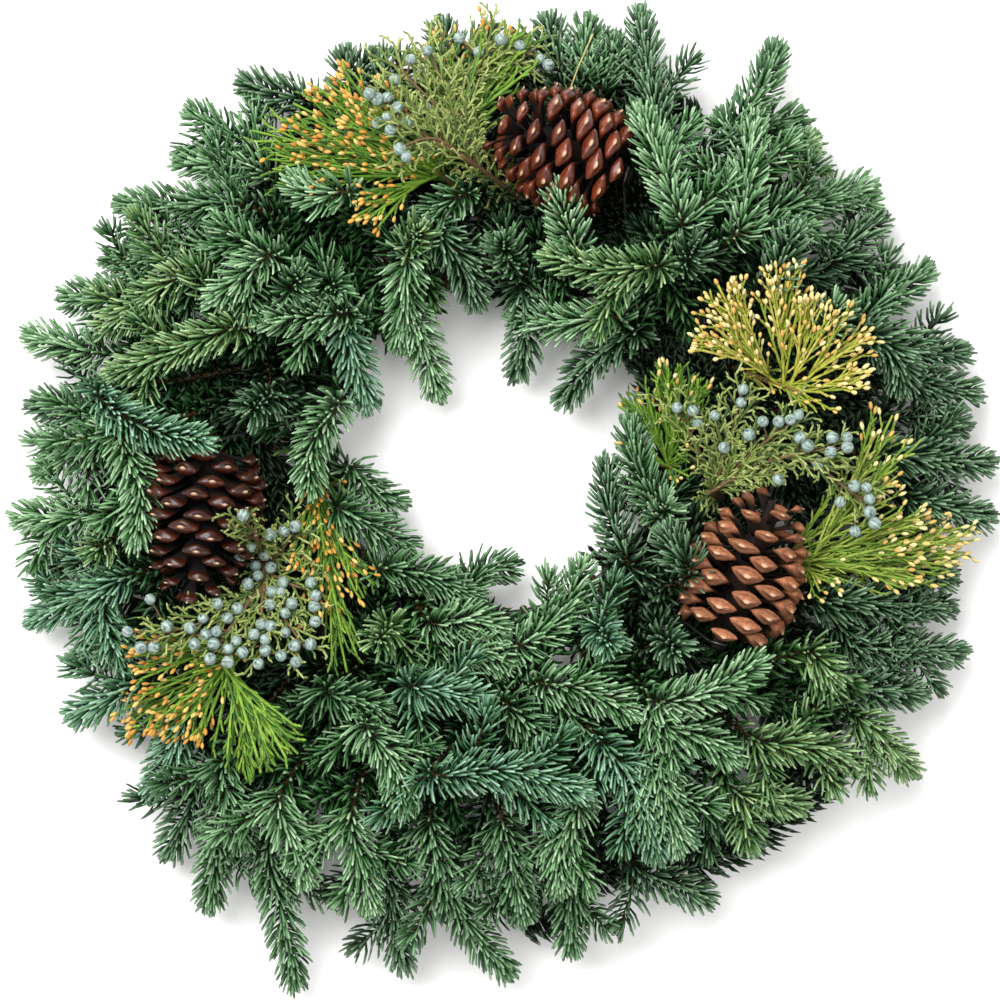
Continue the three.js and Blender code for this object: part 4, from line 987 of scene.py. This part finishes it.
# Rings of a scale: share of its length, half width, height towards the base and towards the apex, how far its
# middle moves towards the base, all against the whole, and how square the ring is.
scaleRings = np.array([
    (0.00, 0.26, 0.08, 0.08, 0.00, 2.0), (0.30, 0.48, 0.09, 0.09, 0.00, 2.0),
    (0.55, 0.72, 0.11, 0.10, 0.00, 2.0), (0.72, 0.92, 0.18, 0.14, 0.00, 1.8),
    (0.82, 1.00, 0.40, 0.25, 0.00, 1.45), (0.88, 0.98, 0.46, 0.27, 0.00, 1.35),
    (0.925, 0.88, 0.34, 0.19, 0.02, 1.3), (0.958, 0.58, 0.18, 0.11, 0.06, 1.4),
    (0.974, 0.30, 0.13, 0.09, 0.12, 1.8), (0.992, 0.15, 0.07, 0.06, 0.17, 2.0)])


# Where a cone lies: its base, its axis, its length, and two directions across it, the first one upwards.
def conePose(cone):
    base, apex = np.array(cone["base"], float), np.array(cone["apex"], float)
    axis = unit(apex - base)
    up = unit(np.array([0, 0, 1.0]) - axis[2] * axis)
    return base, axis, math.dist(base, apex), up, np.cross(axis, up)


# A ring of a scale is a rounded diamond: x and y are the angle's cosine and sine, both to the same power.
def scaleOutline(sides):
    s, wide, baseHeight, apexHeight, drop, square = scaleRings[:, :, None].transpose(1, 0, 2)
    around = 2 * np.pi * np.arange(sides) / sides
    x = np.sign(np.cos(around)) * np.abs(np.cos(around)) ** (2 / square) * wide
    y = np.abs(np.sin(around)) ** (2 / square) * np.where(np.sin(around) > 0, apexHeight, -baseHeight)
    return x, y, around


# Scales stand in a golden spiral on the core. Each is a blade that widens into a thick, diamond-shaped face.
def coneScales(shape, cone):
    rng = np.random.default_rng(cone["seed"])
    base, axis, length, up, sideways = conePose(cone)
    count = cone["scales"]
    t = np.linspace(0, 1, 400)
    area = np.cumsum(coneProfile(t))
    share = np.interp((np.arange(count) + 0.5) / count, area / area[-1], t) * 0.97 + 0.01
    turn = np.arange(count) * goldenTurn + rng.normal(0, coneShape["turnSpread"], count)
    radius = cone["radius"] * coneProfile(share)
    radial = np.cos(turn)[:, None] * up + np.sin(turn)[:, None] * sideways
    opening = np.radians(np.interp(share, *coneShape["opening"]) * cone["spread"])
    opening = opening + rng.normal(0, coneShape["openingSpread"], count)
    opening = np.minimum(opening, math.radians(coneShape["widest"]))
    direction = np.sin(opening)[:, None] * radial + np.cos(opening)[:, None] * axis
    core = coneShape["core"] * radius
    reach = np.minimum((radius - core) / np.maximum(np.sin(opening), 0.45) + 1.0, coneShape["longest"])
    root = base + (share * length - reach * np.cos(opening))[:, None] * axis + core[:, None] * radial
    width = np.interp(share, *coneShape["width"]) * rng.uniform(*coneShape["widthSpread"], count)
    width = width * cone["scaleSize"]
    height = np.interp(share, *coneShape["height"]) * rng.uniform(*coneShape["heightSpread"], count)
    height = height * cone["scaleSize"]
    across = unit(np.cross(axis, radial))
    thick = np.cross(direction, across)               # points to the apex side
    s, drop = scaleRings[:, 0], scaleRings[:, 4]
    middle = root[:, None] + (reach[:, None] * s)[..., None] * direction[:, None]
    middle = middle + (coneShape["curl"] * reach[:, None] * s ** 3)[..., None] * radial[:, None]
    middle = middle - (height[:, None] * drop)[..., None] * thick[:, None]
    x, y, around = scaleOutline(coneShape["sides"])
    rings = (middle[:, :, None]
             + (x[None] * width[:, None, None] / 2)[..., None] * across[:, None, None]
             + (y[None] * height[:, None, None])[..., None] * thick[:, None, None])
    tips = middle[:, -1] + direction * 1.2 - thick * 0.5
    bodies(shape, rings, tips, s, around, rng.integers(*cone["strips"], count), margin=0.05, height=0.93)
    shares = np.linspace(0.0, 0.9, 16)
    radii = cone["radius"] * coneProfile(shares) * coneShape["coreWood"] * (1 - shares ** 3)
    inside = (0.02, 0.4)              # the part of the map that has the scales' inner colour
    tube(shape, base + (shares * length)[:, None] * axis, radii, coneShape["sides"], strip(0), inside, up=up)
    stalk = [base - coneStalk["length"] * axis, base - 0.5 * coneStalk["length"] * axis, base + 2 * axis]
    tube(shape, stalk, coneStalk["radius"] * 0.97, coneShape["sides"], strip(0), inside, up=up)


def makeCones():
    glossy = coneFinish("glossy cone", coneLooks["glossy"])
    matte = coneFinish("matte cone", coneLooks["matte"])
    for name, cone in cones.items():
        shape = Shape()
        coneScales(shape, cone)
        dull = name == "cone_right"
        piece = shape.build(name + "_scales", [matte if dull else glossy])
        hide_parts(name)


makeCones()
print("cones made")


# ---- cedar and juniper sprays ----
longRings = [(0, 0.62), (0.2, 0.95), (0.32, 0.7), (0.55, 0.98), (0.67, 0.66), (0.86, 0.8)]
shortRings = [(0, 0.6), (0.28, 0.95), (0.42, 0.62), (0.72, 0.9), (0.88, 0.5)]
stubRings = [(0, 0.6), (0.6, 0.9)]
budRings = [(0, 0.4), (0.3, 0.95), (0.65, 1.0), (0.9, 0.5)]
toneCount = 4                         # strips of the map for each colour of a spray
spraySteps = 24
cedar = {
    "shootEvery": 5.6, "shootLean": (5, 21), "shootLength": (14, 62), "shootWidth": 2.3,
    "twigEvery": 9.0, "twigLean": 21, "twigLength": (7, 13),
    "budLength": (4.4, 5.8), "budWidth": (2.3, 3.0), "stemBuds": 0.2,
    "bareWidth": 1.25,                # shoots of a twig without buds are this much wider
    "stem": (2.4, 1.3), "twig": (1.2, 0.85),                          # radii at the foot and at the tip
    "tones": {
        "greens": [(84, 130, 26), (108, 150, 34), (128, 166, 46), (66, 108, 24)],
        "yellows": [(158, 166, 50), (180, 180, 66), (136, 156, 42), (196, 188, 88)],
        "golds": [(222, 166, 66), (232, 184, 92), (204, 140, 48), (236, 196, 110)],
        "straws": [(236, 202, 118), (244, 218, 144), (228, 180, 94), (248, 232, 166)],
        "wood": [(128, 104, 56)] * 4,
        "limes": [(118, 150, 42), (140, 166, 56), (102, 136, 34), (162, 180, 78)]},
}
juniper = {
    "branchEvery": 5.0, "branchLean": (20, 44), "branchLength": (16, 34), "branchWidth": 2.45,
    "twigEvery": 5.2, "twigLean": 34, "twigLength": (8, 15),
    "stubEvery": 5.0, "stubLean": 36, "stubLength": (3.5, 6.5),
    "stem": (2.4, 1.4), "twig": (1.3, 0.8),                           # radii at the foot and at the tip
    "strawRadius": 0.55,
    "berryWidth": (7.0, 8.4), "stalkWidth": 1.2,
    "tones": {
        "greens": [(88, 110, 44), (112, 132, 58), (132, 148, 72), (68, 92, 38)],
        "tips": [(132, 150, 76), (154, 170, 92), (112, 134, 62), (170, 182, 108)],
        "straws": [(186, 176, 112)] * 8,
        "wood": [(112, 84, 54)] * 8},
}
berryLook = {"skin": (60, 78, 68), "dark": (22, 32, 28), "frost": (160, 180, 172), "roughness": 0.5}
woodStrip = strip(16)
strawStrip = strip(12)


def leafFinish(name, tones, roughness):
    finish = Finish(name)
    uv, u, v = finish.ownMap()
    base = finish.byStrip(u, [linear(*colour) for colours in tones.values() for colour in colours])
    grain = finish.noise(uv, 70.0, 14.0, 3.0)
    joint = ((v * 6.0).math("FRACT") - 0.5).math("ABSOLUTE").rise(0.3, 0.5)
    darker = finish.mix(joint * 0.3, base, (0.04, 0.05, 0.01, 1))
    finish.bump(grain, 0.5, 0.0004)
    return finish.set(Base_Color=finish.grained(darker, grain, 0.4), Roughness=grain * 0.2 + roughness)


# Leftwards and rightwards in turn, level and square to the ways given.
def sideways(ways, order):
    flat = unit(ways * (1, 1, 0) + 1e-6)
    return np.stack([-flat[:, 1], flat[:, 0], 0 * flat[:, 0]], 1) * np.where(order % 2, 1, -1)[:, None]


# Twigs along a curve, left and right in turn. Returns their roots, directions and lengths as arrays.
def offshoots(curve, start, end, every, lean, size, rng, lift=0.05, taper=0.5):
    count = max(2, int((end - start) / every))
    s = start + (end - start) * (np.arange(count) + rng.random(count)) / count
    tangent = curve.tangentAt(s)
    angle = np.radians(rng.uniform(*lean, count))
    aside = sideways(tangent, np.arange(count))
    direction = np.cos(angle)[:, None] * tangent + np.sin(angle)[:, None] * aside
    direction[:, 2] += rng.normal(lift, 0.1, count)
    share = 1 - taper * (s - start) / max(end - start, 1)
    return curve.atLength(s), unit(direction), mixed(*size, rng.random(count)) * share


# Twigs of the next order on straight ones, again left and right in turn.
def nextOrder(root, direction, length, every, lean, size, rng, lift=0.08):
    counts = np.maximum((length / every).astype(int), 1)
    which = np.repeat(np.arange(len(root)), counts)
    order = np.concatenate([np.arange(n) for n in counts])
    share = (order + 0.75) / counts[which] * 0.94
    d = direction[which]
    angle = np.radians(lean + rng.normal(0, 5, len(which)))[:, None]
    way = np.cos(angle) * d + np.sin(angle) * sideways(d, order)
    way[:, 2] += rng.normal(lift, 0.16, len(which))
    return (root[which] + (share * length[which])[:, None] * d, unit(way),
            rng.uniform(*size, len(which)) * (1 - 0.3 * share))


def scaledTwigs(shape, root, direction, length, width, firstStrip, rng, rings, bend=0.05):
    count = len(root)
    side = np.cross(direction, np.array([0, 0, 1.0])) + rng.normal(0, 0.2, (count, 3))
    widths = width * rng.uniform(0.85, 1.15, count)
    strips = firstStrip + rng.integers(0, toneCount, count)
    bends = np.broadcast_to((0, 0, bend), (count, 3))
    scatter(shape, root, direction, bends, side, length, widths, strips, rings, 4, 0.62)


def buds(shape, tips, ways, share, firstStrip, rng):
    chosen = rng.random(len(tips)) < share
    tips, ways = tips[chosen], ways[chosen]
    count = len(tips)
    if count:
        scatter(shape, tips, ways, np.zeros((count, 3)), np.cross(ways, (0, 0, 1.0)) + 1e-3,
                rng.uniform(*cedar["budLength"], count), rng.uniform(*cedar["budWidth"], count),
                firstStrip + rng.integers(0, toneCount, count), budRings, 5, 0.95)


def sprayStem(shape, cut, stem, radii):
    points = np.vstack([cut, stem.atLength(np.linspace(0, stem.total, spraySteps))])
    tube(shape, points, np.linspace(*radii, spraySteps + 1), 7, woodStrip)


def cedarSpray(name, spray, finish):
    cut, stem, twigs, worst = sprayPaths[name]
    rng = np.random.default_rng(2000 + spray["slot"])
    shape = Shape()
    colours = list(cedar["tones"])
    leaf, bud = colours.index(spray["leaf"]) * toneCount, colours.index(spray["bud"]) * toneCount
    sprayStem(shape, cut, stem, cedar["stem"])
    for index, twig in enumerate(twigs + [stem]):
        main = twig is not stem
        anywhere = (0, 200)
        closest, furthest = spray.get("buds", {}).get(index, anywhere) if main else anywhere
        if main:
            s = np.linspace(0, twig.total, max(6, int(twig.total / 5)))
            radii = np.linspace(*cedar["twig"], len(s)) * (1 + 0.14 * np.sin(s * 1.6))
            tube(shape, twig.atLength(s), radii, 5, strip(leaf + 1), thick=0.8)
        start, end = (2, twig.total * 0.8) if main else (10, twig.total)
        width = cedar["shootWidth"] * (cedar["bareWidth"] if closest >= furthest else 1)
        every = spray.get("every", cedar["shootEvery"])
        root, direction, length = offshoots(twig, start, end, every, cedar["shootLean"], (1, 1), rng)
        left = np.maximum(twig.total - np.linspace(start, end, len(root)), 12) if main else 34.0
        length = np.clip(left * rng.uniform(0.72, 1.1, len(root)), *cedar["shootLength"])
        scaledTwigs(shape, root, direction, length, width, leaf, rng, longRings, bend=0.0)
        roots, ways, sizes = nextOrder(root, direction, length, cedar["twigEvery"], cedar["twigLean"],
                                       cedar["twigLength"], rng)
        scaledTwigs(shape, roots, ways, sizes, width * 0.85, leaf, rng, shortRings)
        tip = twig.atLength([twig.total])
        tips = [roots + ways * sizes[:, None] * 0.96, root + direction * length[:, None] * 0.98]
        tipWays = [ways, direction]
        if main:
            tips.append(tip)
            tipWays.append(twig.tangentAt([twig.total]))
        tips, tipWays = np.vstack(tips), np.vstack(tipWays)
        fromEnd = np.linalg.norm(tips - tip, axis=1)
        ripe = (fromEnd >= closest) & (fromEnd <= furthest)
        buds(shape, tips[ripe], tipWays[ripe], spray["share"] if main else cedar["stemBuds"], bud, rng)
    piece = shape.build(name + "_leaves", [finish])
    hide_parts(name)
    return worst, len(piece.data.polygons)


def berryFinish():
    finish = Finish("frosted berry")
    uv, u, v = finish.ownMap()
    skin, dark, frost = (linear(*berryLook[part]) for part in ("skin", "dark", "frost"))
    patch = finish.noise(uv, 55.0, 3.0, 2.0, 4.0, 0.65)
    fine = finish.noise(uv, 300.0, 16.0, 3.0, 2.0)
    frosted = finish.mix(patch.rise(0.34, 0.62), skin, frost)
    mottled = finish.mix(fine.rise(0.56, 0.72) * 0.55, frosted, dark)
    finish.bump(fine, 0.2, 0.0003)
    return finish.set(Base_Color=finish.mix(v.rise(0.93, 0.985), mottled, dark),
                      Roughness=patch * 0.3 + (berryLook["roughness"] - 0.15))


# Each berry hangs over the nearest point of a twig, on a stalk that leaves the twig a little before it.
def berryBunch(shape, places, twigs, rng):
    count = len(places)
    dense = np.vstack([twig.atLength(np.linspace(4, twig.total, 40)) for twig in twigs])
    ways = np.vstack([twig.tangentAt(np.linspace(4, twig.total, 40)) for twig in twigs])
    spots = np.zeros((count, 3))
    for i, (x, y) in enumerate(places):
        apart = np.hypot(dense[:, 0] - x, dense[:, 1] - y)
        near = int(np.argmin(apart))
        root = dense[near] - ways[near] * 4
        spots[i] = (x, y, dense[near][2] + 4.5 + min(apart[near], 16) * 0.25 + rng.uniform(-1, 2.5))
        stalk = Curve([root, mixed(root, spots[i], 0.55) - (0, 0, 2.0), spots[i]], 12)
        tube(shape, stalk.atShare(np.linspace(0, 1, 5)), juniper["stalkWidth"] / 2, 4, woodStrip)
    way = unit(rng.normal(0, 1, (count, 3)) + (0, 0, 0.9))
    width = rng.uniform(*juniper["berryWidth"], count)
    rings = [(t, 2 * math.sqrt(t * (1 - t))) for t in np.linspace(0.08, 0.92, 7)]        # a ball
    root, side = spots - way * width[:, None] / 2, np.cross(way, (0.3, 1, 0.1))
    scatter(shape, root, way, np.zeros((count, 3)), side, width, width, rng.integers(0, stripCount, count),
            rings, 10, 1.0, look=1, tip=0.985)


def juniperSpray(name, spray, leaf, berry):
    cut, stem, twigs, worst = sprayPaths[name]
    rng = np.random.default_rng(3000 + spray["slot"])
    shape = Shape()
    sprayStem(shape, cut, stem, juniper["stem"])
    for twig in twigs + [stem]:
        main = twig is not stem
        if main:
            s = np.linspace(0, twig.total, max(6, int(twig.total / 5)))
            tube(shape, twig.atLength(s), np.linspace(*juniper["twig"], len(s)), 5, woodStrip)
        branches = offshoots(twig, 4 if main else 12, twig.total - 1, juniper["branchEvery"],
                             juniper["branchLean"], juniper["branchLength"], rng, lift=0.12, taper=0.3)
        scaledTwigs(shape, *branches, juniper["branchWidth"], 0, rng, longRings)
        smaller = nextOrder(*branches, juniper["twigEvery"], juniper["twigLean"], juniper["twigLength"], rng,
                            lift=0.12)
        scaledTwigs(shape, *smaller, juniper["branchWidth"] * 0.85, toneCount, rng, shortRings)
        stubs = nextOrder(*smaller, juniper["stubEvery"], juniper["stubLean"], juniper["stubLength"], rng)
        scaledTwigs(shape, *stubs, juniper["branchWidth"] * 0.75, toneCount, rng, stubRings)
    if "straw" in spray:
        straw = Curve(spray["straw"], 20)
        tube(shape, straw.atShare(np.linspace(0, 1, 9)), juniper["strawRadius"], 5, strawStrip)
    berryBunch(shape, spray["berries"], twigs, rng)
    piece = shape.build(name + "_leaves", [leaf, berry])
    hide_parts(name)
    return worst, len(piece.data.polygons)


cedarFinish = leafFinish("cedar scale", cedar["tones"], 0.5)
juniperFinish = leafFinish("juniper scale", juniper["tones"], 0.55)
berries = berryFinish()
found = [cedarSpray(name, spray, cedarFinish) for name, spray in cedarSprays.items()]
found += [juniperSpray(name, spray, juniperFinish, berries) for name, spray in juniperSprays.items()]
print("sprays:", len(found), "worst miss", round(max(m for m, n in found), 3), "faces", [n for m, n in found])


# ---- wire ring, clamps and the wires that hold the cones ----
wire = {
    "rails": (108.0, 150.0), "railRadius": 2.5,
    "clamps": 6, "clampRadius": 1.55, "clampReach": (102.5, 155.5), "clampHeight": 15.0, "clampLift": 1.35,
    "tieRadius": 0.9, "tieGap": 0.6, "tieTurns": 0.775, "tieRun": 2.8, "railGap": 0.3, "railSides": 20,
    "green": (58, 70, 60), "bright": (112, 112, 106),
}


def wireFinish(name, colour, metal):
    finish = Finish(name)
    inSpace = finish.node("ShaderNodeTexCoord", out=3)
    wear = finish.noise(inSpace, 1.0, 1.0, 900.0)
    base = finish.mix(wear.rise(0.4, 0.75), linear(*colour), linear(*[int(c * 0.72) for c in colour]))
    finish.bump(wear, 0.15, 0.0002)
    return finish.set(Base_Color=base, Roughness=wear * 0.3 + 0.25, Metallic=metal)


# A ring of wire: a small circle carried round a large one, with the seam closed.
def closedRing(shape, radius, wireRadius, steps=96, sides=10):
    a = 2 * np.pi * np.arange(steps)[:, None] / steps
    b = 2 * np.pi * np.arange(sides)[None] / sides
    r = radius + wireRadius * np.cos(b)
    z = wireRadius * (1 + np.sin(b)) + 0 * a
    points = np.stack([centreX + r * np.cos(a), centreY + r * np.sin(a), z], -1)
    faces = wallFaces(steps + 1, sides)[:, [0, 3, 2, 1]] % (steps * sides)
    corners = wallCorners(np.linspace(0, 1, sides + 1), np.linspace(0, 1, steps + 1))[:, [0, 3, 2, 1], ::-1]
    shape.add(points.reshape(-1, 3), [(faces, corners)])


def makeRing(finish):
    shape = Shape()
    for radius in wire["rails"]:
        closedRing(shape, radius, wire["railRadius"] * math.cos(math.pi / 6))
    near, far = wire["clampReach"]
    top = wire["clampHeight"]
    low = wire["clampRadius"] + wire["clampLift"]
    profile = [(near + 2, top), (near, top / 2), (near + 1, low + 1), (near + 4, low), (far - 4, low),
               (far - 1, low + 1), (far, top / 2), (far - 2, top)]
    for i in range(wire["clamps"]):
        angle = 2 * math.pi / wire["clamps"] * i + math.pi / wreath["slotCount"]
        clamp = Curve([onRing(radius, angle, z) for radius, z in profile], 60)
        tube(shape, clamp.atShare(np.linspace(0, 1, 40)), wire["clampRadius"], 8)
    piece = shape.build("ring_wires", [finish])
    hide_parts("wire_frame")


# A tie loops round the stalk of its cone and runs down beside the outer rail.
def makeTie(name, finish):
    cone = cones[name]
    base, axis, _, up, side = conePose(cone)
    angle = math.radians(cone["tieAngle"])
    radius = coneStalk["radius"] + wire["tieGap"] + wire["tieRadius"]
    middle = base - axis * coneStalk["length"] / 2
    towards = onRing(0, angle, 0) - middle
    t = np.linspace(0, 1, 33)[:, None]
    turn = math.atan2(towards @ side, towards @ up) + 2 * math.pi * wire["tieTurns"] * (1 - t)
    loop = middle + radius * (np.cos(turn) * up + np.sin(turn) * side) - wire["tieRun"] * t * axis
    railStep = 2 * math.pi / wire["railSides"]
    chord = wire["rails"][1] * math.cos(railStep / 2) / math.cos(angle % railStep - railStep / 2)
    beside = chord + wire["railRadius"] + wire["railGap"] + wire["tieRadius"]
    tail = [onRing(beside + 1, angle, 24), onRing(beside, angle, 8),
            onRing(beside, angle, 3 * wire["tieRadius"])]
    down = Curve([loop[-1], *tail], 30).atShare(np.linspace(0.04, 1, 24))
    shape = Shape()
    tube(shape, np.vstack([loop, down]), wire["tieRadius"], 8)
    piece = shape.build(name + "_tie_wire", [finish])
    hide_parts(name + "_tie")


ringFinish = wireFinish("painted ring wire", wire["green"], 0.4)
tieFinish = wireFinish("florist wire", wire["bright"], 0.9)
makeRing(ringFinish)
for name in cones:
    makeTie(name, tieFinish)
print("wires made")


# ---- table, light and camera ----
studio = {
    "floor": (250, 249, 248),
    "floorHalf": 3.0,
    "floorDepth": 0.0006,
    "cameraHeight": 2.4,
    "middle": (-2.5, -0.6),           # what the camera looks down on
    "viewWidth": 0.63,                # metres across the picture at the height of the foliage
    "viewHeight": 0.045,
    "sensor": 36.0,
    "sky": 0.7,
    "lights": {                       # power, size and place
        "key": (78.0, 1.9, (-0.7, 0.9, 1.9)),
        "fill": (10.0, 1.5, (1.1, -0.5, 1.6))},
}


def makeStage():
    half, depth = studio["floorHalf"], studio["floorDepth"]
    mesh = bpy.data.meshes.new("table")
    corners = [(-half, -half, -depth), (half, -half, -depth), (half, half, -depth), (-half, half, -depth)]
    mesh.from_pydata(corners, [], [(0, 1, 2, 3)])
    floor = bpy.data.objects.new("table", mesh)
    bpy.context.scene.collection.objects.link(floor)
    mesh.materials.append(Finish("pale table").set(Base_Color=linear(*studio["floor"]), Roughness=0.8))


# A round lamp that points at the middle of the table.
def areaLight(name, power, size, position):
    light = bpy.data.lights.new(name, "AREA")
    light.energy, light.shape, light.size = power, "DISK", size
    lamp = bpy.data.objects.new(name, light)
    bpy.context.scene.collection.objects.link(lamp)
    lamp.location = position
    x, y, z = position
    lamp.rotation_euler = (math.atan2(math.hypot(x, y), z), 0, math.atan2(-y, -x) - math.pi / 2)


def makeLight():
    world = bpy.data.worlds.new("soft room")
    bpy.context.scene.world = world
    world.use_nodes = True
    world.node_tree.nodes["Background"].inputs["Color"].default_value = (1, 1, 1, 1)
    world.node_tree.nodes["Background"].inputs["Strength"].default_value = studio["sky"]
    for name, (power, size, position) in studio["lights"].items():
        areaLight(name, power, size, position)


def makeCamera():
    camera = bpy.data.cameras.new("camera")
    eye = bpy.data.objects.new("camera", camera)
    bpy.context.scene.collection.objects.link(eye)
    middle = place((*studio["middle"], 0))
    eye.location = (middle[0], middle[1], studio["cameraHeight"])
    camera.sensor_width = studio["sensor"]
    camera.lens = studio["sensor"] * (studio["cameraHeight"] - studio["viewHeight"]) / studio["viewWidth"]
    camera.clip_start = 0.05
    bpy.context.scene.camera = eye


makeStage()
makeLight()
makeCamera()
bpy.context.scene.view_settings.view_transform = "Standard"
print("stage set")
